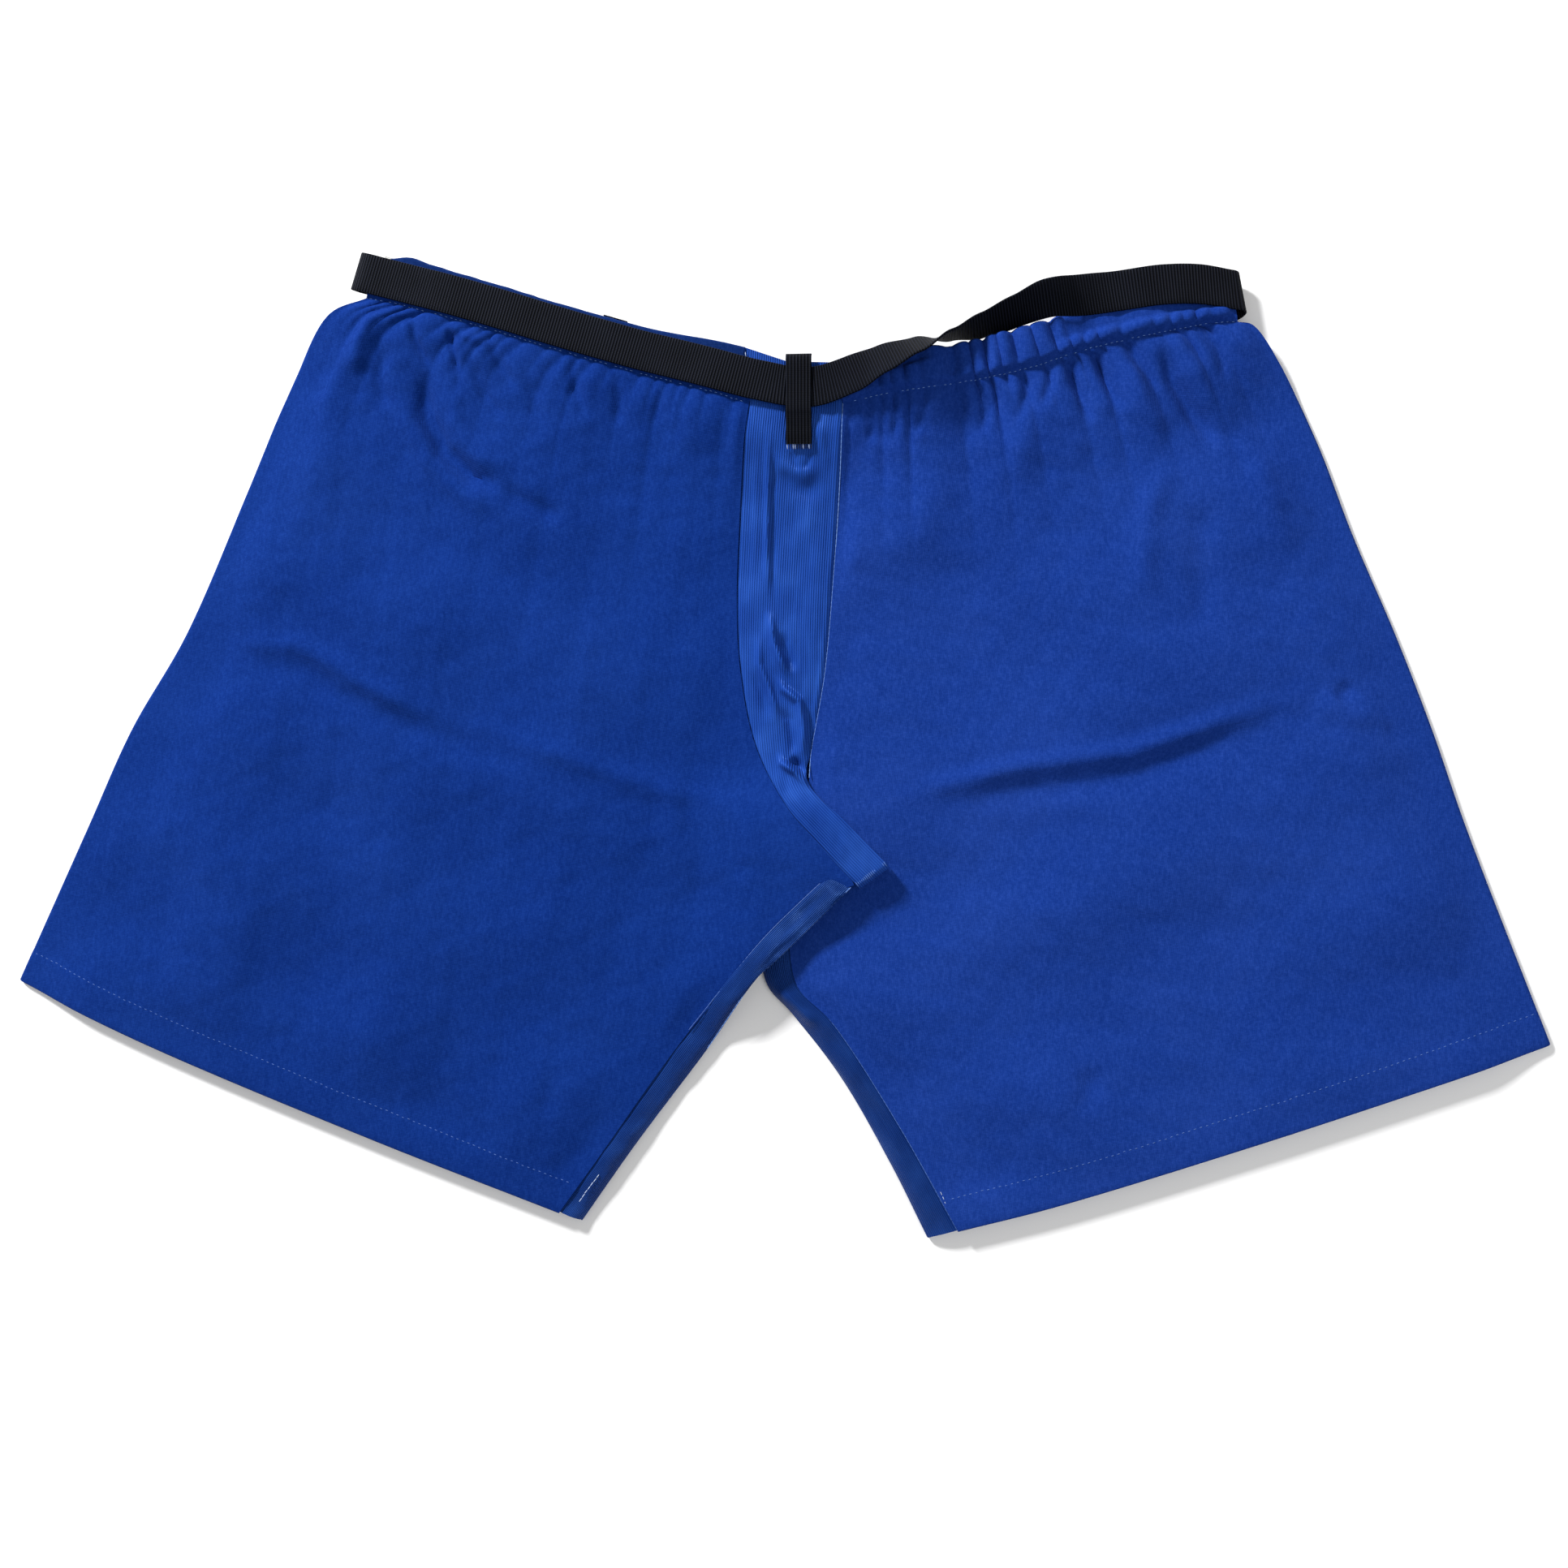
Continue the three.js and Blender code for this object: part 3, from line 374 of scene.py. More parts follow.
def lengthsAlong(points):
    # running length down the rows of a line or of a grid
    steps = np.linalg.norm(np.diff(points, axis=0), axis=-1)
    return np.concatenate([np.zeros_like(steps[:1]), np.cumsum(steps, axis=0)])


def pointsAt(where, along, points):
    return np.stack([np.interp(where, along, points[:, k]) for k in range(points.shape[1])], -1)


def curveSamples(points, perSpan=32):
    # a centripetal Catmull-Rom curve through the points, as evenly stepped samples in each span
    p = np.array(points, float)
    spans = []
    for i in range(len(p) - 1):
        before = p[i - 1] if i > 0 else 2 * p[0] - p[1]
        after = p[i + 2] if i + 2 < len(p) else 2 * p[-1] - p[-2]
        a, b = p[i], p[i + 1]
        da, db, dc = (max(np.linalg.norm(s) ** 0.5, 1e-4) for s in (a - before, b - a, after - b))
        ta = ((a - before) / da - (b - before) / (da + db) + (b - a) / db) * db
        tb = ((b - a) / db - (after - a) / (db + dc) + (after - b) / dc) * db
        w = (np.arange(perSpan) / perSpan)[:, None]
        spans.append(a + ta * w + (3 * (b - a) - 2 * ta - tb) * w**2 + (2 * (a - b) + ta + tb) * w**3)
    return np.vstack([*spans, p[-1:]])


class Line:
    # a curve that gives its point and direction at a share of its length
    def __init__(self, points):
        self.samples = curveSamples(points)
        self.along = lengthsAlong(self.samples)
        self.length = self.along[-1]

    def at(self, share):
        return pointsAt(np.clip(share, 0.0, 1.0) * self.length, self.along, self.samples)

    def heading(self, share):
        return unit(self.at(np.clip(share + 2e-3, 0, 1)) - self.at(np.clip(share - 2e-3, 0, 1)))


def offsetLine(points, distance, steps=16):
    line = Line(points)
    share = np.arange(steps + 1) / steps
    way = line.heading(share)
    return line.at(share) + np.stack([-way[:, 1], way[:, 0]], -1) * distance


def wander(x, y, wavelength, seed, count=7):
    # smooth uneven waves, from about -1 to 1
    dice = np.random.default_rng(seed)
    total = np.zeros_like(x)
    for _ in range(count):
        angle = dice.uniform(0, math.pi)
        size = 2 * math.pi / (wavelength * dice.uniform(0.7, 1.5))
        total += np.sin(size * (x * math.cos(angle) + y * math.sin(angle)) + dice.uniform(0, 6.28))
    return total / count**0.5 / 1.4


def foldAlong(x, y, points, width, height, lean=0.0, fade=0.3):
    # a ridge, or a valley where height is below zero, along a line that fades out at both ends
    p = np.array(points, float)
    starts = lengthsAlong(p)
    nearest = np.full(x.shape, 1e9)
    share = np.zeros(x.shape)
    side = np.zeros(x.shape)
    for i, length in enumerate(np.diff(starts)):
        way = (p[i + 1] - p[i]) / length
        ax, ay = x - p[i, 0], y - p[i, 1]
        t = np.clip(ax * way[0] + ay * way[1], 0.0, length)
        away = np.hypot(ax - t * way[0], ay - t * way[1])
        closer = away < nearest
        nearest = np.where(closer, away, nearest)
        share = np.where(closer, (starts[i] + t) / starts[-1], share)
        side = np.where(closer, way[0] * ay - way[1] * ax, side)
    strength = ease(share / fade) * ease((1.0 - share) / fade)
    return height * strength * np.exp(-((nearest / width) ** 2)) * (1.0 + lean * np.tanh(side / width))


def makePiece(name, points, faces, *materials):
    # a new object from points in millimetres, left selected and active
    mesh = bpy.data.meshes.new(name)
    mesh.from_pydata((np.reshape(points, (-1, 3)) * mm).tolist(), [], faces)
    for material in materials:
        mesh.materials.append(material)
    mesh.update()
    piece = addToScene(name, mesh)
    bpy.ops.object.select_all(action="DESELECT")
    piece.select_set(True)
    bpy.context.view_layer.objects.active = piece
    return piece


def addClothMap(piece, flat):
    # the piece's own flat measure in metres, one pair for each point
    corner = np.empty(len(piece.data.loops), dtype=np.int32)
    piece.data.loops.foreach_get("vertex_index", corner)
    layer = piece.data.uv_layers.new(name="cloth")
    layer.data.foreach_set("uv", flat.reshape(-1, 2)[corner].astype(np.float32).ravel())


def closeUp(smoothUnder):
    # the active piece's faces point outwards, and shade smooth where they meet at less than the angle
    bpy.ops.object.mode_set(mode="EDIT")
    bpy.ops.mesh.select_all(action="SELECT")
    bpy.ops.mesh.normals_make_consistent(inside=False)
    bpy.ops.object.mode_set(mode="OBJECT")
    bpy.ops.object.shade_smooth_by_angle(angle=math.radians(smoothUnder))


def gridMesh(name, points, uv, thick, material, inner=None, innerRows=0):
    # a sheet from rows of points
    rows, columns = points.shape[:2]
    index = np.arange(rows * columns).reshape(rows, columns)
    corners = [index[:-1, :-1], index[:-1, 1:], index[1:, 1:], index[1:, :-1]]
    faces = np.stack(corners, -1).reshape(-1, 4).tolist()
    piece = makePiece(name, points, faces, *([material, inner] if inner else [material]))
    addClothMap(piece, uv)
    for i in range(innerRows * (columns - 1)):
        piece.data.polygons[i].material_index = 1
    wall = piece.modifiers.new("wall", "SOLIDIFY")
    wall.thickness = thick * mm
    wall.offset = 0.0
    bpy.ops.object.modifier_apply(modifier="wall")
    closeUp(60)
    return piece


def declareSheet(piece):
    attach(piece, "garment")


def ringFaces(stations, count):
    # the skin of a run of rings, closed at both ends
    index = np.arange(stations * count).reshape(stations, count)
    after = np.roll(index, -1, axis=1)
    faces = np.stack([index[:-1], after[:-1], after[1:], index[1:]], -1).reshape(-1, 4).tolist()
    return faces + [index[0, ::-1].tolist(), index[-1].tolist()]


# how the layers lie on each other, shared by every piece

layers = {
    "casing": 25.4,  # height of the waist tunnel
    "seam": 13.15,  # from the tunnel's middle to its stitch line
    "casingBackZ": 5.2,
    "casingSideZ": 9.3,
    "casingFrontZ": 14.4,
    "beltBackZ": 2.1,
    "beltOverCasing": 2.9,
    "backZ": 0.6,
    "foldZ": 2.1,
    "frontZ": 7.6,
    "clearance": 0.3,
}
hump = {"height": 5.6, "left": -80, "right": 145, "low": 150, "slope": 50}  # over the buckle
crotch = {"height": 9.0, "left": -50, "slope": 50, "top": -10, "topSlope": 45, "low": -230, "lowSlope": 75}


def humpLift(x, y):
    sides = ease((x - hump["left"]) / hump["slope"]) * ease((hump["right"] - x) / hump["slope"])
    return hump["height"] * sides * ease((y - hump["low"]) / hump["slope"])


def crotchTop(y):
    return ease((crotch["top"] - y) / crotch["topSlope"])


def overlapLift(x, y):
    # the left leg lies over the right one at the crotch
    ends = crotchTop(y) * ease((y - crotch["low"]) / crotch["lowSlope"])
    return crotch["height"] * ease((x - crotch["left"]) / crotch["slope"]) * ends


def startAt(waist, below, end, step):
    # an edge starts at an end of the stitch line, moved by a step
    return (offsetLine(waist, below * layers["seam"])[end] + step).tolist()


leftWaist = {
    "front": [(-9, 230), (-60, 245), (-117, 262), (-180, 282), (-250, 303)],
    "back": [(-14, 241), (-60, 251), (-120, 268), (-180, 287), (-249, 309)],
}
rightWaist = {
    "front": [(57, 227), (82, 232), (122, 238), (171, 248), (203, 258), (259, 270), (299, 278)],
    "back": [(48, 222), (82, 229), (122, 235), (171, 246), (203, 255), (259, 267), (297, 276)],
}
leftEdges = {
    "below": 1,
    "outer": [startAt(leftWaist["front"], 1, -1, (-4.2, -0.4)), (-284, 280), (-312, 232), (-340, 168),
              (-383, 71), (-421, 7), (-451, -58), (-498, -160)],
    "frontRise": [startAt(leftWaist["front"], 1, 0, (7.7, -3.4)), (-8, 194), (-12, 144), (-14, 90),
                  (-12, 46), (-2, -4), (17, -41), (44, -73), (63, -93)],
    "backRise": [startAt(leftWaist["back"], 1, 0, (2.8, -1.2)), (-15, 160), (-15, 60), (-14, -10),
                 (-6, -45), (10, -72), (30, -86), (57, -94)],
    "inseam": [(63, -93), (42, -102), (7, -131), (-44, -188), (-107, -276), (-130, -308)],
    "inner": [(60, -95), (12, -142), (0, -153), (-33, -200), (-81, -264), (-116, -314)],
    "hem": [(-498, -160), (-409, -201), (-255, -262), (-130, -308)],
}
rightEdges = {
    "below": -1,
    "outer": [startAt(rightWaist["front"], -1, -1, (2.4, -2.2)), (313, 261), (331, 236), (354, 189),
              (377, 128), (403, 66), (426, 5), (447, -57), (498, -192)],
    "frontRise": [startAt(rightWaist["front"], -1, 0, (-4.6, -1.1)), (53, 169), (49, 109), (43, 42),
                  (34, -11), (33, -25), (29, -45), (24, -78)],
    "backRise": [startAt(rightWaist["back"], -1, 0, (-3.7, -1.1)), (46, 160), (44, 80), (40, 10),
                 (33, -30), (24, -78)],
    "inseam": [(24, -78), (20, -120), (25, -159), (48, -183), (91, -249), (128, -315)],
    "inner": [(4, -80), (1, -120), (5, -158), (22, -178), (53, -218), (86, -275), (109, -321)],
    "hem": [(498, -192), (412, -223), (312, -258), (190, -298), (128, -315)],
}

# leg cloth

legs = {
    "cloth": 0.9,
    "flat": (0.52, 0.64),  # metres
    "columns": 168,
    "crotchShare": 12 / 22,
    "span": 340.0,  # width of a leg, for rounding its outer fold
    "foldRound": 5.0,
    "topStretch": 75,  # the stretch under the waist that gets finer rows
    "riseLength": 470.0,
    "broadWave": 3.2,
    "middleWave": 0.5,
    "fineWave": 0.3,
    "creaseScale": 1.7,
    "plyGap": 2.2,
    "hemTurn": 22.0,
    "hemRound": 0.6,
    "hemApart": 1.15,
}
pleats = {"pitch": 11.5, "height": 1.7, "narrow": 1.7, "wide": 1.5, "narrowReach": 21.0, "wideReach": 62.0}
leftFolds = [  # points, width, height, lean
    [[(-224, 246), (-218, 212), (-208, 189), (-188, 172), (-160, 160)], 5.5, -3.4, 0.3],
    [[(-240, 240), (-230, 206), (-216, 182), (-196, 162), (-160, 148)], 7.0, 2.2],
    [[(-206, 244), (-198, 206), (-184, 186), (-158, 172)], 7.0, 2.0],
    [[(-172, 164), (-150, 152), (-126, 142)], 6.0, -2.2, 0.5],
    [[(-190, 250), (-180, 226), (-166, 206)], 4.0, -1.5, 0.3],
    [[(-242, 262), (-250, 240), (-246, 214)], 5.0, -1.6],
    [[(-150, 240), (-146, 216), (-138, 196)], 5.0, -1.0],
    [[(-64, 226), (-62, 200), (-66, 172)], 6.0, -1.0],
    [[(-122, 250), (-118, 226), (-110, 204)], 4.0, -1.3],
    [[(-92, 242), (-90, 220), (-92, 200)], 4.0, -1.1],
    [[(-178, 266), (-168, 242), (-156, 224)], 4.0, -1.6, 0.3],
    [[(-204, 272), (-190, 262), (-174, 256)], 3.0, 1.2],
    [[(-203, 272), (-199, 252), (-196, 236)], 2.6, -2.0, 0.4],
    [[(-226, 280), (-225, 262), (-214, 240)], 3.0, -1.8],
    [[(-250, 284), (-262, 262), (-268, 236)], 5.0, 1.6],
    [[(-262, 268), (-282, 236), (-290, 206)], 8.0, 1.4],
    [[(-357, 60), (-308, 61), (-289, 53), (-265, 37), (-224, 17), (-199, 11)], 7.0, 1.7, 0.7],
    [[(-199, 11), (-150, -6), (-92, -26), (-40, -40), (-6, -47)], 8.0, 1.3, 0.7],
    [[(-345, 48), (-300, 44), (-262, 22), (-210, 0), (-150, -18)], 9.0, -1.3],
    [[(-300, 196), (-282, 150), (-276, 96)], 16.0, 1.2],
    [[(-150, 90), (-120, 30), (-110, -30)], 18.0, 1.1],
    [[(-60, -20), (-52, -70), (-40, -100)], 9.0, 1.4, 0.3],
    [[(-28, -44), (-16, -72), (-6, -96)], 7.0, -1.2],
    [[(-128, -208), (-142, -250)], 10.0, -0.9],
]
rightFolds = [
    [[(81, -41), (164, -21), (240, -10), (281, 4), (307, 13), (332, 19), (352, 28)], 7.0, 2.0, 0.7],
    [[(96, -52), (164, -34), (240, -24), (300, -2), (345, 10)], 9.0, -1.5],
    [[(364, 24), (378, 34)], 5.0, -1.4],
    [[(393, 8), (422, -2)], 5.0, -1.2],
    [[(352, 28), (372, 14), (398, 12)], 6.0, 1.3],
    [[(253, 254), (262, 226), (276, 204), (294, 182)], 5.5, -3.4, 0.4],
    [[(236, 244), (244, 214), (262, 186)], 7.0, 1.9],
    [[(272, 246), (288, 214), (306, 192)], 7.0, 1.8],
    [[(262, 178), (248, 148), (244, 110), (252, 80)], 9.0, 1.4, 0.3],
    [[(292, 160), (280, 126), (284, 92), (276, 60)], 10.0, -1.2],
    [[(320, 190), (322, 150), (334, 110)], 12.0, 1.2],
    [[(190, 236), (176, 196), (150, 150)], 9.0, 1.0],
    [[(216, -208), (206, -240)], 8.0, -1.2],
    [[(120, 190), (112, 150), (92, 110)], 12.0, 0.8],
    [[(197, 250), (201, 228), (214, 198)], 3.4, -2.0, 0.4],
    [[(213, 252), (219, 232), (234, 204)], 3.6, -1.8, 0.3],
    [[(186, 246), (186, 226), (180, 206)], 3.4, -1.4],
    [[(168, 240), (171, 220), (166, 198)], 3.4, -1.2],
    [[(140, 232), (146, 212), (142, 192)], 3.6, -1.2, 0.3],
    [[(104, 226), (105, 206), (100, 190)], 3.2, -1.0],
    [[(84, 222), (89, 204), (88, 190)], 3.2, -1.1],
    [[(70, 216), (74, 200), (72, 186)], 3.0, -1.0],
    [[(230, 256), (241, 236), (256, 218)], 3.6, -1.5],
    [[(278, 264), (290, 246), (298, 224)], 3.6, -1.6, 0.3],
]


def leftGather(x):
    return 0.75 + 0.45 * ease((-x - 150) / 60) + 0.2 * ease((x + 110) / 50)


def rightGather(x):
    return 1.45 - 0.3 * ease((110 - x) / 50)


sides = {
    "left": {"edges": leftEdges, "waist": leftWaist, "cloth": leftLegClothShaded},
    "right": {"edges": rightEdges, "waist": rightWaist, "cloth": rightLegCloth},
}
sides["left"].update({"gather": leftGather, "over": True})
sides["right"].update({"gather": rightGather, "over": False})


def makeLegShape(edges, waist, ply):
    front = ply == "front"
    rise = edges[ply + "Rise"]
    inner = edges["inseam" if front else "inner"]
    outer = edges["outer"] if front else offsetLine(edges["outer"], -edges["below"] * 0.8, 24).tolist()
    hem = [*edges["hem"][:-1], edges["hem"][-1] if front else inner[-1]]
    stitched = offsetLine(waist[ply], edges["below"] * layers["seam"]).tolist()[1:-1]
    return {
        "waist": Line([rise[0], *stitched, outer[0]]),
        "outer": Line(outer),
        "hem": Line(hem),
        "rise": Line(rise),
        "inner": Line(inner),
        "tunnel": Line(waist[ply]),
    }


def legPlan(shape, u, v):
    # u runs from the outer fold to the seams, v from the waist to the hem
    split = legs["crotchShare"]
    low = shape["inner"].at((v - split) / (1 - split))
    innerAt = np.where((v < split)[..., None], shape["rise"].at(v / split), low)
    outerAt = shape["outer"].at(v)
    topLeft, topRight = shape["outer"].at(0.0), shape["rise"].at(0.0)
    lowLeft, lowRight = shape["outer"].at(1.0), shape["inner"].at(1.0)
    a, b = u[..., None], v[..., None]
    ends = (1 - b) * shape["waist"].at(1 - u) + b * shape["hem"].at(u)
    corners = (1 - b) * ((1 - a) * topLeft + a * topRight) + b * ((1 - a) * lowLeft + a * lowRight)
    return ends + (1 - a) * outerAt + a * innerAt - corners


def gathers(along, below, seed, strength):
    # puckers that the elastic pulls, sharpest at the stitch line; below is negative on the tunnel
    shift = np.random.default_rng(seed).uniform(0, 6.28, 6)
    phase = math.pi * along / pleats["pitch"]
    phase = phase + 1.1 * np.sin(phase / 2.7 + shift[0]) + 0.8 * np.sin(phase / 4.9 + shift[1])
    uneven = 0.78 + 0.18 * np.sin(along / 19.0 + shift[2]) + 0.12 * np.sin(along / 33.0 + shift[3])
    narrow = np.abs(np.sin(phase)) ** 0.55 - 0.7
    wide = 1.3 * (np.abs(np.sin(phase * 0.5 + shift[4])) ** 0.7 - 0.6)
    wide = wide + 0.5 * np.sin(phase * 0.31 + shift[5])
    down = np.maximum(below, 0)
    reach = np.where(below < 0, 1.0, np.exp(-((down / pleats["narrowReach"]) ** 1.3)))
    slow = np.exp(-((down / pleats["wideReach"]) ** 1.5)) * ease((np.abs(below) + 1) / 16.0)
    pinch = 1.0 - 0.35 * np.exp(-((below / 1.3) ** 2))
    height = pleats["height"] * strength * uneven
    return height * pinch * (pleats["narrow"] * narrow * reach + pleats["wide"] * wide * slow)


def openTunnel(x, h):
    # how far the tunnel is free of the belt, which lies on it everywhere but at its twist
    fromLeft = ease((x - mix(46, 100, ease((h - 8) / 10))) / 15)
    return fromLeft * (1 - ease((x - 190) / 10) * ease((h - 7) / 4))


def legHeights(ply, u, v, plan, folds, seed, over):
    x, y = plan[..., 0], plan[..., 1]
    lifted = overlapLift(x, y) if over else 0.0
    waistShare = ease((0.17 - v) / 0.16)
    if ply == "back":
        return mix(layers["backZ"] + 0.1, layers["casingBackZ"] + humpLift(x, y), waistShare) + lifted
    fromFold = np.clip(u * legs["span"] / legs["foldRound"], 0, 1)
    rounded = np.sqrt(np.clip(1 - (1 - fromFold) ** 2, 0, 1))
    base = mix(layers["foldZ"] - 0.9, layers["foldZ"] + 0.8, rounded) + 5.0 * ease((u - 0.004) / 0.13)
    top = mix(layers["casingSideZ"], layers["casingFrontZ"] + humpLift(x, y), ease(u / 0.25))
    height = mix(base, top, waistShare) + lifted
    free = ease(u / 0.08) * ease((1 - u) / 0.05) * ease((1 - v) / 0.06)
    calm = free * ease((v - 0.004) / 0.05)
    free = free * ease(v / 0.016)
    waves = legs["broadWave"] * wander(x, y, 120.0, seed)
    waves = waves + legs["middleWave"] * wander(x, y, 46.0, seed + 3, 9)
    height = height + calm * (waves + legs["fineWave"] * wander(x, y, 15.0, seed + 5, 12))
    for points, width, tall, *lean in folds:
        height = height + free * foldAlong(x, y, points, width, legs["creaseScale"] * tall, *lean)
    # the front ply never sinks into the back ply under it
    low = layers["backZ"] + legs["plyGap"] + lifted
    return np.where(calm > 0, low + np.logaddexp(0.0, (height - low) * 1.6) / 1.6, height)


tunnel = {
    "bend": 1.6,  # from the tunnel's top down to where its fold starts
    "half": 1.35,  # from the middle of the tunnel to a wall's middle
    "inner": 1.3,  # the same for the wall that is turned in
    "innerPucker": 0.35,
    "least": -0.2,  # a pucker never sinks deeper, so the elastic stays covered
}


def tunnelRows(front):
    # height above the stitches, distance from the middle and share of the puckers, over the fold and down
    tall = layers["casing"] + (-0.7 if front else 0.6)
    inside, outside = (-1.0, 1.0) if front else (1.0, -1.0)
    top = tall - tunnel["bend"]
    share = tunnel["innerPucker"]
    rows = [(h, inside * tunnel["inner"], share) for h in np.linspace(0.4, top, 9)]
    for angle in np.linspace(0, math.pi, 7)[1:-1]:
        rows.append((top + 1.5 * math.sin(angle), inside * tunnel["half"] * math.cos(angle), share))
    return rows + [(h, outside * tunnel["half"], 1.0) for h in np.linspace(top, 0.6, 16 if front else 10)]


def rowAtDistance(grid, below, fromHem):
    return np.array([pointsAt(below[-1, i] - fromHem, below[:, i], grid[:, i]) for i in range(grid.shape[1])])


def buildTunnel(shape, side, front, u, panel, smooth, pull, seed):
    # the waist tunnel goes on from the panel's top edge
    plan = panel[0, :, :2]
    along = (1 - u) * shape["waist"].length
    up = shape["tunnel"].heading(1 - u)
    up = np.stack([up[:, 1], -up[:, 0]], -1) * side["edges"]["below"]
    rows = []
    for h, off, pleated in tunnelRows(front):
        place = plan + up * h
        if front:
            reach = pull * mix(0.14, 1.0, openTunnel(place[:, 0], h))
        else:
            reach = pull * mix(0.04, 0.25, ease(np.abs(place[:, 0] - 30) / 40 - 2.5))
        puckers = gathers(along, np.full(len(along), -h), seed + 11, reach)
        puckers = np.maximum(puckers + 1.25 * pleats["height"] * reach, tunnel["least"])
        away = 1.0 if off > 0 else -1.0
        swell = humpLift(*place.T) - humpLift(*plan.T)
        wall = off + away * puckers * pleated
        raised = smooth + swell + mix(panel[0, :, 2] - smooth, wall, ease(h / 4.3))
        scallop = 0.45 * (puckers - pleats["height"] * reach) * ease((h - 18) / 7.0)
        rows.append(np.concatenate([place + up * scallop[:, None], raised[:, None]], -1))
    return np.array(rows)


def turnHem(panel, below, front):
    # the hem turns under and runs back up inside
    outwards = panel[-1] - panel[-2]
    outwards[:, 2] = 0
    outwards = unit(outwards)
    lower = -1.0 if front else 1.0
    rows = []
    for angle in np.linspace(0, math.pi, 6)[1:]:
        row = panel[-1] + outwards * legs["hemRound"] * math.sin(angle)
        row[:, 2] += lower * legs["hemRound"] * (1 - math.cos(angle))
        rows.append(row)
    for distance in np.linspace(4, legs["hemTurn"], 5):
        row = rowAtDistance(panel, below, distance)
        row[:, 2] += lower * legs["hemApart"]
        rows.append(row)
    return np.array(rows)


def buildLeg(sideName, ply, folds, seed):
    side, front = sides[sideName], ply == "front"
    shape = makeLegShape(side["edges"], side["waist"], ply)
    share = np.linspace(0, 1, legs["columns"] if front else legs["columns"] // 2)
    u = np.unique(np.concatenate([np.linspace(0, 0.02, 9), share[share > 0.022]]))
    topRows = np.arange(0, legs["topStretch"], 1.7 if front else 4.0) / legs["riseLength"]
    v = np.concatenate([topRows, np.linspace(topRows[-1], 1, 118 if front else 60)[1:]])
    uu, vv = np.meshgrid(u, v)
    plan = legPlan(shape, uu, vv)
    below = lengthsAlong(plan)
    height = legHeights(ply, uu, vv, plan, folds, seed, side["over"])
    along = (1 - u) * shape["waist"].length
    pull = ease(u / 0.03) * ease((1 - u) / 0.02) * side["gather"](plan[0, :, 0])
    smooth = height[0].copy()
    if front:
        height = height + gathers(np.broadcast_to(along, below.shape), below, seed + 11, pull)
        overTurn = legs["hemTurn"] - (below[-1] - below)
        height = height + 0.4 * ease((overTurn + 0.8) / 1.6)
        height = height - 0.35 * np.exp(-(((overTurn - 1.0) / 1.1) ** 2))
    panel = np.concatenate([plan, height[..., None]], -1)
    top = buildTunnel(shape, side, front, u, panel, smooth, pull, seed)
    points = np.concatenate([top, panel, turnHem(panel, below, front)])
    down = lengthsAlong(points) * mm
    uv = np.stack([np.broadcast_to(along * mm, down.shape), down], -1)
    name, under = sideName + "_leg_" + ply, sideName + ("_back_panel" if front else "_belt_loop")
    # on the back ply the first rows, the tunnel's turned-in wall above the belt, take the darker inside
    # cloth: wrong side and painted shade
    piece = gridMesh(name, points, uv, legs["cloth"], side["cloth"], wrongSideAndShade, 0 if front else 12)
    declareSheet(piece)
    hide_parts(sideName + "_" + ply + "_panel", sideName + "_" + ply + "_waist_tunnel")
    return panel, below


builtLegs = {
    ("left", "front"): buildLeg("left", "front", leftFolds, 21),
    ("right", "front"): buildLeg("right", "front", rightFolds, 57),
    ("left", "back"): buildLeg("left", "back", [], 5),
    ("right", "back"): buildLeg("right", "back", [], 8),
}
print("leg cloth ready")

# inner leg strips and gussets

strip = {
    "cloth": 0.7,
    "columns": 16,
    "rows": 190,
    "fullWidth": 15.0,  # where the strip is narrower it rolls over less
    "lapEnd": 0.46,  # share of the left strip that lies on the leg's corner
    "lapHeight": 2.2,
}
leftStripSeam = [(45, -88), (28, -104), (3, -129), (-45, -188), (-107, -276), (-130, -308)]
leftStripFolds = [
    [[(44, -104), (10, -134), (-6, -152)], 3.0, 1.2, 0.5],
    [[(50, -92), (28, -112), (4, -136)], 3.0, -1.0],
    [[(30, -108), (16, -122), (2, -138)], 3.0, 0.9, 0.5],
]
rightStripFolds = [
    [[(8, -160), (22, -172), (40, -188)], 4.0, 2.0, 0.5],
    [[(16, -168), (30, -190), (44, -206)], 3.5, -1.6],
]


def spreadBetween(left, right, down, share):
    # points and width of a sheet that runs between two edges
    a, b = left.at(down), right.at(down)
    return a + (b - a) * share[..., None], np.linalg.norm(a - b, axis=-1)


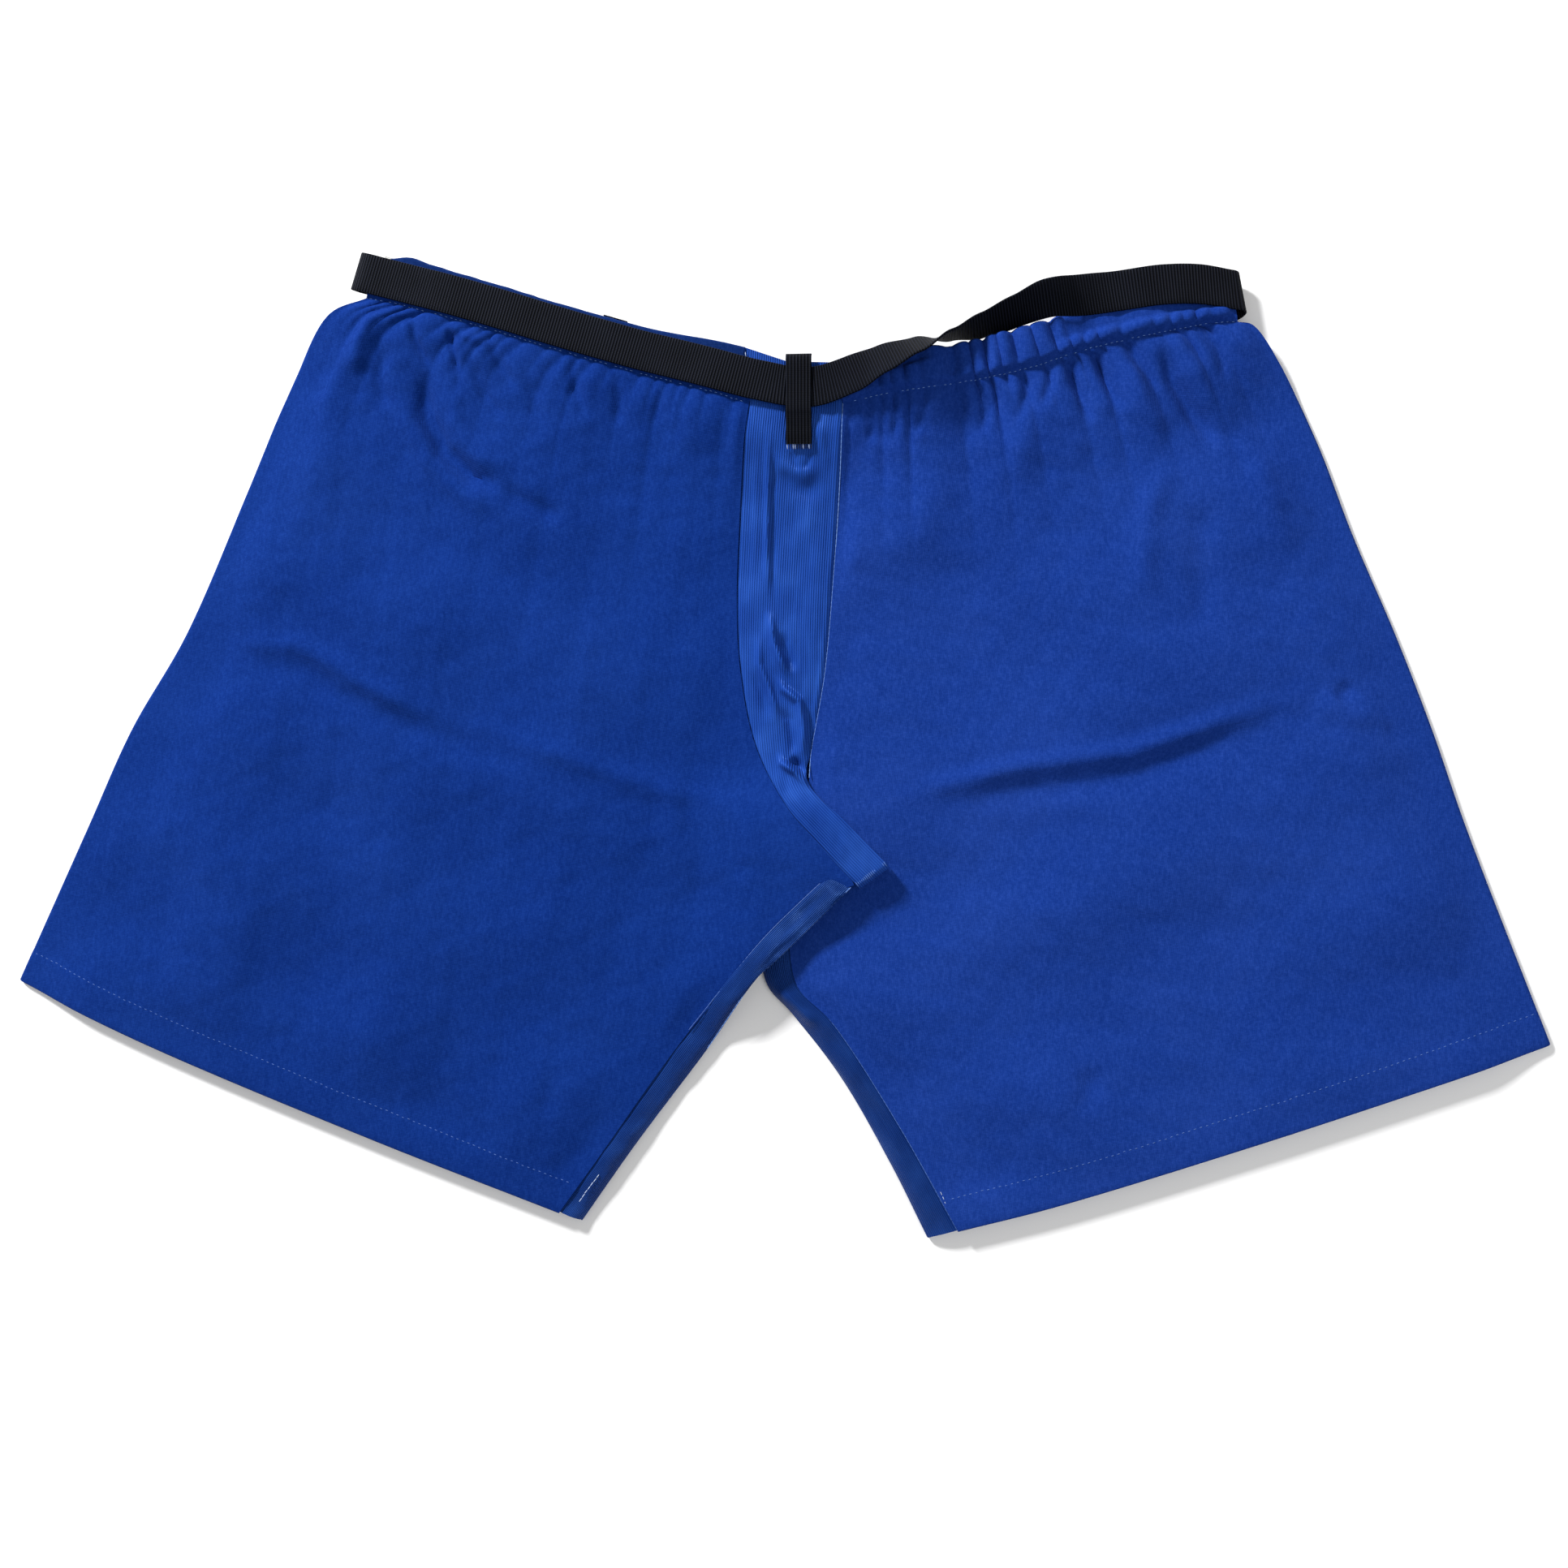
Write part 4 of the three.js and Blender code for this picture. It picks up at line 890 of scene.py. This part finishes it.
def buildStrip(sideName, seed, folds, lappedSeam=None):
    edges = sides[sideName]["edges"]
    seam = Line(lappedSeam or edges["inseam"])
    u, v = np.meshgrid(np.linspace(0, 1, strip["columns"]), np.linspace(0, 1, strip["rows"]))
    plan, width = spreadBetween(seam, Line(edges["inner"]), v, u)
    x, y = plan[..., 0], plan[..., 1]
    # the cloth rolls over the inner leg, steeper towards its free edge
    roll = 1 - np.sqrt(np.clip(1 - (u * 0.98) ** 2.4, 0, 1))
    if lappedSeam:
        roll = roll * (1 - 0.75 * ease((strip["lapEnd"] - v) / 0.16))
    slope = np.minimum(1.0, width / strip["fullWidth"])
    height = layers["frontZ"] - (layers["frontZ"] - layers["foldZ"] + 0.6) * roll * slope
    height = height + (overlapLift(x, y) if sides[sideName]["over"] else 0.0)
    loose = np.sin(math.pi * u) ** 0.7
    along = v * seam.length
    ripples = 0.7 * np.sin(along / 11.0 + 1.3 * np.sin(along / 23.0)) * ease(width / 14.0)
    height = height + loose * (ripples + 0.35 * wander(x, y, 18.0, seed))
    for points, wide, tall, *lean in folds:
        height = height + loose * foldAlong(x, y, points, wide, tall, *lean)
    if lappedSeam:
        lap = ease((strip["lapEnd"] - v) / 0.12) * (1 - 0.5 * ease((0.03 - v) / 0.03))
        height = height + strip["lapHeight"] * lap
    seamDip = np.exp(-((u * width / 1.2) ** 2)) * 0.8
    points = np.concatenate([plan, (height - seamDip)[..., None]], -1)
    uv = np.stack([u * 0.024, along * mm], -1)
    piece = gridMesh(sideName + "_inner_strip", points, uv, strip["cloth"], stripSatin)
    declareSheet(piece)
    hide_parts(sideName + "_inner_leg_strip")


buildStrip("left", 3, leftStripFolds, leftStripSeam)
buildStrip("right", 4, rightStripFolds)

gusset = {
    "cloth": 0.8,
    "columns": 56,
    "rows": 330,
    "bulge": 1.5,
    "foldUnder": 4.0,
    "turnStart": 0.97,  # share of the length where the end starts to turn under
    "turn": 0.75,  # of a half circle
    "creaseScale": 1.6,
    "flat": (0.066, 0.37),  # metres
    "backFlat": (0.066, 0.32),
    "underBelt": 26.0,  # how far both gussets go on above the stitches
}
gussetFold = [rightEdges["frontRise"][0], (53, 169), (49, 109), (43, 42), (34, -9), (31, -20), (33, -30),
              (56, -53), (82, -79)]
gussetFolds = [
    [[(10, 44), (16, 32), (26, 24), (29, 8), (29, -8), (32, -20)], 2.5, 3.0, 0.5],
    [[(14, 22), (20, 12), (22, -4), (22, -14)], 3.0, -1.8],
    [[(34, 20), (34, 0), (34, -14)], 3.0, -2.4],
    [[(6, 84), (10, 60), (16, 46), (20, 38)], 2.6, 2.4, 0.6],
    [[(14, 70), (20, 54), (24, 42)], 3.0, -1.6],
    [[(0, 70), (0, 48), (6, 34), (10, 22), (12, 8)], 2.4, 2.0, 0.6],
    [[(-4, 46), (2, 28), (6, 10)], 3.0, -1.2],
    [[(12, -8), (15, -16), (24, -22), (34, -32), (46, -46)], 2.6, 3.4, 0.7],
    [[(20, -12), (26, -17), (33, -25)], 3.0, -3.6],
    [[(8, -24), (20, -42), (38, -62)], 4.0, -1.2],
    [[(7, 204), (6, 160), (5, 120), (6, 84)], 2.4, 1.7, 0.7],
    [[(10, 196), (9, 150), (9, 104), (12, 74)], 2.2, -0.7],
    [[(0, 206), (-1, 150), (-3, 96)], 3.0, 0.9],
    [[(40, 150), (40, 100), (36, 50), (34, 24)], 8.0, 1.4, 0.2],
    [[(8, 186), (16, 174), (30, 168), (46, 176)], 4.6, 1.0, 0.3],
    [[(12, 174), (24, 161), (36, 160), (47, 168)], 6.0, -0.9],
    [[(40, 204), (42, 186), (47, 170)], 3.0, 1.2],
    [[(22, 186), (24, 176), (27, 170)], 2.0, -0.9],
    [[(34, 186), (33, 178), (30, 171)], 2.0, -0.9],
]


def frontGussetHeight(x, y):
    top = layers["casingFrontZ"] + humpLift(x, y)
    return mix(layers["frontZ"], top, ease((y - 113) / 97)) + crotch["height"] * crotchTop(y)


def finishGusset(name, plan, height, u, v, width, length):
    points = np.concatenate([plan, height[..., None]], -1)
    uv = np.stack([(u - 0.5) * width * mm, v * length * mm], -1)
    piece = gridMesh(name + "_gusset", points, uv, gusset["cloth"], gussetSatin)
    declareSheet(piece)
    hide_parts(name + "_centre_gusset")


def buildFrontGusset():
    rise = leftEdges["frontRise"]
    more, (startX, startY) = gusset["underBelt"], gussetFold[0]
    left = Line([(rise[0][0] + 0.6, rise[0][1] + more + 1.5), *rise])
    right = Line([(startX - 2.5, startY + more), *gussetFold])
    u, v = np.meshgrid(np.linspace(0, 1, gusset["columns"]), np.linspace(0, 1, gusset["rows"]))
    start = gusset["turnStart"]
    plan, width = spreadBetween(left, right, np.minimum(1.0, v / start), mix(0.004, 0.996, u))
    turned = np.maximum(0.0, v - start) / (1 - start) * math.pi * gusset["turn"]
    plan = plan + np.array([0.6, -0.8]) * (gusset["foldUnder"] * np.sin(turned))[..., None]
    x, y = plan[..., 0], plan[..., 1]
    height = frontGussetHeight(x, y) + gusset["bulge"] * np.sin(math.pi * u) * ease((v - 0.12) / 0.2)
    loose = np.clip(np.sin(math.pi * u), 0, 1) ** 0.6 * ease((v - 0.06) / 0.05)
    height = height + loose * (0.45 * wander(x, y, 26.0, 77) + 0.22 * wander(x, y * 0.3, 7.0, 78, 9))
    for points, wide, tall, *lean in gussetFolds:
        height = height + loose * foldAlong(x, y, points, wide, gusset["creaseScale"] * tall, *lean)
    # beside the seams the satin dips, and the welt by the right seam stands proud
    fromRight = (1 - u) * width
    height = height - 0.9 * np.exp(-(fromRight**2)) - 0.9 * np.exp(-((u * width) ** 2))
    height = height + 0.7 * np.exp(-(((fromRight - 3.0) / 1.4) ** 2)) * ease((y + 5) / 30)
    height = height - gusset["foldUnder"] * (1 - np.cos(turned))
    finishGusset("front", plan, height, u, v, width, left.length)


def buildBackGusset():
    rise, other = leftEdges["backRise"], rightEdges["backRise"]
    more = gusset["underBelt"]
    left = Line([(rise[0][0] + 4.0, rise[0][1] + more), *rise[:5]])
    right = Line([(other[0][0] - 2.8, other[0][1] + more), *other[:5]])
    u, v = np.meshgrid(np.linspace(0, 1, 40), np.linspace(0, 1, 180))
    plan, width = spreadBetween(left, right, v, mix(0.004, 0.996, u))
    x, y = plan[..., 0], plan[..., 1]
    top = layers["casingBackZ"] + humpLift(x, y)
    height = mix(layers["backZ"] + 0.1, top, ease((y - 124) / 85))
    edge = left.at(v)
    height = height + overlapLift(edge[..., 0], edge[..., 1]) * ease(1 - 1.3 * u)
    finishGusset("back", plan, height, u, v, width, left.length)


buildFrontGusset()
buildBackGusset()
print("satin ready")

# belt and loops

belt = {"width": 25.4, "thick": 1.4}
tape = {"width": 16.5, "thick": 0.8, "x": 27.0, "tackedAt": 187.0}
buckle = {
    "y": 214.0,
    "z": 4.4,
    "socketBar": 18 - 37.5 + 3.5,
    "plugBar": 18 + 0.3 + 20 - 3.5,
    "turnRadius": 1.5 + 0.3 + 0.7,
}


def bandPath(route, perSpan):
    # middles, travel directions and width directions, from points with a heading and a roll
    rows = np.array(route, float)
    middle = curveSamples(rows[:, :3], perSpan)
    w = ease(np.arange(perSpan) / perSpan)[:, None]
    turns = [mix(rows[i, 3:5], rows[i + 1, 3:5], w) for i in range(len(rows) - 1)]
    heading, roll = np.radians(np.vstack([*turns, rows[-1:, 3:5]])).T
    flat = np.zeros(len(heading))
    across = np.stack([-np.sin(heading), np.cos(heading), flat], -1)
    lifted = np.cross(np.stack([np.cos(heading), np.sin(heading), flat], -1), across)
    width = across * np.cos(roll)[:, None] + lifted * np.sin(roll)[:, None]
    return middle, unit(np.gradient(middle, axis=0)), width


def buildBand(name, node, route, perSpan, band, material, rides=True):
    middle, travel, across = bandPath(route, perSpan)
    up = unit(np.cross(travel, across))
    tall = band["thick"] / 2
    half = band["width"] / 2 - tall * 0.7
    profile = [(share * half, tall) for share in np.linspace(-1, 1, 9)]
    for angle in np.radians((60, 20, -20, -60)):
        profile.append((half + tall * 0.7 * math.cos(angle), tall * math.sin(angle) * 0.9))
    profile = np.array(profile)
    profile = np.vstack([profile, -profile])
    wide, high = profile[None, :, :1], profile[None, :, 1:]
    rings = middle[:, None, :] + across[:, None, :] * wide + up[:, None, :] * high
    stations, count = rings.shape[:2]
    piece = makePiece(name, rings, ringFaces(stations, count), material)
    along = np.broadcast_to(lengthsAlong(middle)[:, None], (stations, count))
    addClothMap(piece, np.stack([along, np.broadcast_to(profile[:, 0], (stations, count))], -1) * mm)
    closeUp(50)
    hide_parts(node)
    if rides:
        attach(piece, "garment")
    return piece


def flatRun(z, *points):
    return [[x, y, z, heading, 0] for x, y, heading in points]


def beltFrontRoute():
    # x, y, z, heading and roll, from behind the left end of the waist to behind its right end
    line = Line(leftWaist["front"])
    leftX, leftY = leftWaist["front"][-1]
    rightX, rightY = rightWaist["front"][-1]
    low, over = layers["beltBackZ"], layers["beltOverCasing"]
    high = layers["casingSideZ"] + over + 0.4
    crown = layers["casingFrontZ"] + hump["height"] + over + 0.4
    route = [
        [leftX + 20, leftY - 2.5, low, -17, 0],
        [leftX, leftY + 2.5, low, -17, 0],
        [leftX - 10, leftY + 4.5, mix(low, high, 0.12), -17, 0],
        [leftX - 15, leftY + 5.5, mix(low, high, 0.5), -17, 0],
        [leftX - 10, leftY + 3.5, mix(low, high, 0.9), -17, 0],
        [leftX + 3, leftY - 0.4, high + 0.2, -17, 0],
    ]
    for i in range(10):
        share = 0.9 - 0.09 * i
        x, y = line.at(share)
        top = layers["casingFrontZ"] + humpLift(x, y)
        z = mix(layers["casingSideZ"], top, ease((1 - share) * line.length / 60))
        route.append([x, y + 0.6, z + over + 0.25, -17, 0])
    return route + [
        [2, 228, crown, -14, 0],
        [34, 223, crown, 4, 0],
        [60, 230, 25.8, 20, -12],
        [80, 239, 27.6, 20, -34],
        [102, 248, 26.2, 20, -54],
        [124, 255.6, 19, 20, -90],
        [143, 262, 16, 19, -112],
        [163, 269.5, 18, 17, -126],
        [183, 275, 27.2, 14, -142],
        [204, 278, 22, 12, -163],
        [228, 281.5, 17.8, 9, -180],
        [256, 285, layers["casingFrontZ"] + over + 0.3, 6, -180],
        [280, 285.5, layers["casingSideZ"] + over + 2.8, 4, -180],
        [rightX + 1, rightY + 4.5, high + 0.2, 6, -180],
        [rightX + 6, rightY + 4, mix(low, high, 0.88), 9, -180],
        [rightX + 8, rightY + 3, mix(low, high, 0.5), 11, -180],
        [rightX + 6, rightY + 1.5, mix(low, high, 0.12), 12, -180],
        [rightX - 2, rightY - 1.5, low, 13, -180],
        [rightX - 22, rightY - 6.5, low, 13, -180],
    ]


def roundBar(x, way):
    # half a turn round a bar of the buckle
    turns = []
    for angle in np.linspace(-math.pi / 2, math.pi / 2, 5):
        reach, rise = buckle["turnRadius"] * math.cos(angle), buckle["turnRadius"] * math.sin(angle)
        turns.append([x + way * reach, buckle["y"], buckle["z"] + rise, 0, 0])
    return turns


def buildBackBelt():
    low = layers["beltBackZ"]
    doubled = low + belt["thick"] + layers["clearance"]
    socket, plug = buckle["socketBar"], buckle["plugBar"]
    leftRoute = [
        *flatRun(low, (-229.6, 300.4, -17), (-180, 286, -17), (-120, 268, -17), (-84, 257.5, -17),
                 (-60, 245.5, -25), (-42, 229, -27), (-31, 218, -14), (socket - 6, 214.4, -2)),
        *roundBar(socket, 1),
        [socket - 6, 214.4, buckle["z"] + 2, -2, 0],
        [-31, 218, doubled + 1.4, -14, 0],
        [socket - 26, 229, doubled + 0.3, -26, 0],
    ]
    strapRoute = [
        *flatRun(low, (129.6, 236.6, 14), (104, 230, 15), (76, 221.5, 15), (54, 215.5, 8),
                 (plug + 6, 214, 0)),
        *roundBar(plug, -1),
        [plug + 6, 214, buckle["z"] + 2, 0, 0],
        [54, 215.5, doubled + 1, 8, 0],
        [plug + 26, 217.8, doubled + 0.3, 11, 0],
    ]
    rightRoute = flatRun(low, (130, 236.7, 14), (171, 246.5, 15), (203, 255, 15), (259, 267.5, 13),
                         (276.6, 271.4, 13))
    buildBand("belt_left_run", "belt_back_left", leftRoute, 10, belt, beltWebbing)
    buildBand("belt_right_run", "belt_back_right", rightRoute, 12, belt, beltWebbing)
    strap = buildBand("belt_plug_run", "belt_plug_strap", strapRoute, 10, belt, beltWebbing, rides=False)
    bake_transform(strap)


def buildCentreLoop():
    half = tape["thick"] / 2
    overCloth = 0.6 + layers["clearance"] + half
    top = layers["casingFrontZ"] + hump["height"]
    overBelt = top + layers["beltOverCasing"] + belt["thick"] / 2 + layers["clearance"] + half + 0.6
    x = tape["x"]
    route = flatRun(overBelt, (x, 241.5, -90), (x, 226, -90), (x, 209, -90), (x, 205.5, -90))
    route[-1][2] -= 1
    route = [[x, 244.5, top, -90, 0], [x, 244, overBelt - 2, -90, 0], *route]
    for y in (199.0, 193.0, 187.5):
        route.append([x, y, frontGussetHeight(x, y) + gusset["bulge"] + overCloth, -90, 0])
    buildBand("centre_loop", "centre_belt_loop", route, 10, tape, loopTape)


def buildBackLoop(side, px, py, heading):
    angle = math.radians(heading)
    reach = belt["width"] / 2 + layers["clearance"] + tape["thick"] / 2 + 0.3
    floorZ = tape["thick"] / 2 + 0.13
    corner = [(reach, 2.6), (reach - 0.4, 1.25), (reach - 1.3, floorZ), (reach - 5, floorZ)]
    profile = [(reach, 4.2), *corner, (0, floorZ), *[(-s, z) for s, z in corner[::-1]], (-reach, 3.4)]
    route = [[px - s * math.sin(angle), py + s * math.cos(angle), z, heading - 90, 0] for s, z in profile]
    buildBand(side + "_loop", side + "_belt_loop", route, 8, tape, loopTape)


buildBand("belt_front_run", "belt_front", beltFrontRoute(), 14, belt, beltWebbing)
buildBackBelt()
buildCentreLoop()
buildBackLoop("left", -98, 261.8, -17)
buildBackLoop("right", 152, 242, 14)
print("belt ready")

# buckle and elastic keep their own shape

buckleParts = ("buckle_socket", "buckle_plug", "buckle_arm_upper", "buckle_arm_lower")
elasticParts = ("left_waist_elastic", "right_waist_elastic")
for material, names in ((buckleNylon, buckleParts), (waistElastic, elasticParts)):
    for name in names:
        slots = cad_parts[name].data.materials
        slots.clear()
        slots.append(material)

# stitching

stitch = {"length": 2.6, "radius": 0.24, "dive": 0.45, "taper": 0.35, "wobble": 0.12}


def modelStitch():
    # one stitch as made by hand: a short six-sided thread whose two ends dive into the cloth
    length = stitch["length"] * mm
    bpy.ops.object.select_all(action="DESELECT")
    bpy.ops.mesh.primitive_cylinder_add(vertices=6, radius=stitch["radius"] * mm, depth=length,
                                        end_fill_type="NGON", rotation=(0.0, math.pi / 2, 0.0))
    thread = bpy.context.object
    thread.name = "one_stitch"
    bpy.ops.object.transform_apply(location=True, rotation=True, scale=True)
    bpy.ops.object.mode_set(mode="EDIT")
    for share in (0.5, 0.25, 0.75):
        bpy.ops.mesh.select_all(action="SELECT")
        bpy.ops.mesh.bisect(plane_co=((share - 0.5) * length, 0.0, 0.0), plane_no=(1.0, 0.0, 0.0))
    bpy.ops.object.mode_set(mode="OBJECT")
    for vertex in thread.data.vertices:
        fromMiddle = vertex.co.x / (length / 2)
        vertex.co.z -= stitch["dive"] * mm * fromMiddle * fromMiddle
        vertex.co.y *= 1.0 - stitch["taper"] * fromMiddle * fromMiddle
    points = np.array([vertex.co[:] for vertex in thread.data.vertices]) / mm
    faces = [list(face.vertices) for face in thread.data.polygons]
    bpy.data.objects.remove(thread)
    return points, faces


stitchPoints, stitchFaces = modelStitch()


def placeStitches(name, runs, material):
    # copies of the one stitch, each from a start to an end, raised and moved aside
    points, faces = [], []
    for start, end, rise, aside in runs:
        way = np.subtract(end, start)
        long = np.linalg.norm(way)
        way = way / long
        side = unit(np.cross((0.0, 0.0, 1.0), way))
        up = np.cross(way, side)
        centre = np.add(start, end) / 2 + up * rise + side * aside
        turned = np.stack([way * (long / stitch["length"]), side, up])
        faces += [[len(points) + i for i in face] for face in stitchFaces]
        points += (centre + stitchPoints @ turned).tolist()
    piece = makePiece(name, points, faces, material)
    bpy.ops.object.shade_smooth_by_angle(angle=math.radians(60))
    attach(piece, "garment")


def sewLine(name, points, material, seed, length=2.6, gap=1.3, lift=0.42, skip=0.0):
    # stitches laid end to end along a line of points
    points = np.asarray(points, float)
    along = lengthsAlong(points)
    pitch = length + gap
    dice = np.random.default_rng(seed)
    runs = []
    for start in np.arange(pitch / 2, along[-1] - pitch / 2, pitch):
        if dice.random() < skip:
            continue
        ends = [pointsAt(start + half * length / 2, along, points) for half in (-1, 1)]
        runs.append((*ends, lift, dice.normal(0, stitch["wobble"])))
    placeStitches(name, runs, material)


hemLine = {"fromHem": 21.0, "backZ": 0.32, "seeds": {"front": (3, 4), "back": (5, 6)}}
for ply, seeds in hemLine["seeds"].items():
    for sideName, seed in zip(sides, seeds):
        row = rowAtDistance(*builtLegs[sideName, ply], hemLine["fromHem"])[2:-1]
        if ply == "front":
            sewLine(sideName + "_hem_stitches", row, hemThread, seed)
        else:
            row[:, 2] = hemLine["backZ"]  # under the back ply, clear of the floor
            sewLine(sideName + "_hem_stitches_back", row[::-1], hemThread, seed, lift=-0.1)
for sideName, seed in (("left", 7), ("right", 8)):
    row = builtLegs[sideName, "front"][0][0, 2:-2]
    sewLine(sideName + "_waist_stitches", row, lightThread, seed, length=1.8, gap=1.7, lift=0.65, skip=0.15)
print("stitching ready")

# seam threads beside the satin


def buildSeamCord(name, points, count, heightAt, radius, material):
    plan = Line(points).at(np.linspace(0, 1, count))
    line = np.concatenate([plan, heightAt(plan[:, 0], plan[:, 1])[:, None]], -1)
    lengths = lengthsAlong(line)
    where = np.linspace(0, lengths[-1], 260)
    middle = pointsAt(where, lengths, line)
    travel = unit(np.gradient(middle, axis=0))
    side = unit(np.cross((0.0, 0.0, 1.0), travel))
    up = np.cross(travel, side)
    angles = np.linspace(0, 2 * math.pi, 7)[None, :-1, None]
    size = radius * (1 + 0.25 * np.sin(where * 1.9))[:, None, None]
    rings = middle[:, None] + (side[:, None] * np.cos(angles) + up[:, None] * np.sin(angles)) * size
    piece = makePiece(name, rings, ringFaces(*rings.shape[:2]), material)
    closeUp(70)
    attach(piece, "garment")


def besideGusset(x, y):
    return frontGussetHeight(x, y) + 0.3


def onLeftStrip(x, y):
    return layers["frontZ"] + 1.75 + overlapLift(x, y)


def underLeftStrip(x, y):
    return onLeftStrip(x, y) - 1.05


def onRightStrip(x, y):
    return np.full(len(x), layers["frontZ"] + 0.3)


buildSeamCord("right_rise_seam", rightEdges["frontRise"][:6], 240, besideGusset, 0.26, lightThread)
buildSeamCord("left_strip_seam", leftStripSeam[:4], 200, onLeftStrip, 0.16, hemThread)
buildSeamCord("left_strip_edge", leftEdges["inner"][:4], 200, underLeftStrip, 0.22, lightThread)
buildSeamCord("right_strip_seam", rightEdges["inseam"][2:], 200, onRightStrip, 0.24, lightThread)


def buildTacks():
    # the loop's lower end is sewn down with upright stitches, a few of them pulled light
    x, y = tape["x"], tape["tackedAt"]
    z = frontGussetHeight(x, y) + 3.2
    pulled, hidden = [], []
    for i in range(13):
        side = x - 7.6 + i * 1.27
        run = ((side, y + 1.2, z), (side + 0.2, y - 2.4, z - 1.2), 0.0, 0.0)
        (pulled if i in (0, 3, 4, 8, 11) else hidden).append(run)
    placeStitches("loop_tack_light", pulled, whiteThread)
    placeStitches("loop_tack_dark", hidden, blackThread)

    # the gusset's folded end shows the tips of its ribs
    first, last = np.array(leftEdges["frontRise"][-1]), np.array(gussetFold[-1])
    tips = []
    for share in np.arange(18) / 17:
        px, py = mix(first, last, 0.03 + 0.94 * share)
        pz = layers["frontZ"] + crotch["height"] + 0.75 + 1.2 * math.sin(math.pi * share)
        tips.append(((px - 0.5, py + 0.7, pz), (px + 1.4, py - 1.9, pz - 0.9), 0.0, 0.0))
    placeStitches("gusset_end_tips", tips, lightThread)

    topSeam = [[-5.5, 238, 12.4], [-7.5, 245, 12.4], [-8.4, 252, 11.6]]
    sewLine("gusset_top_seam", topSeam, whiteThread, 2, gap=0.3, lift=0.3)
    hemZ = layers["frontZ"] + 0.7
    for side, top, low in (("left", (-104, -283), (-119, -303)), ("right", (117, -290), (127, -313))):
        row = [[mix(top[0], low[0], t), mix(top[1], low[1], t), hemZ] for t in np.linspace(0, 1, 9)]
        sewLine(side + "_hem_tack", row, whiteThread, 9, length=2.8, gap=0.4, lift=0.1)


buildTacks()
print("seams ready")
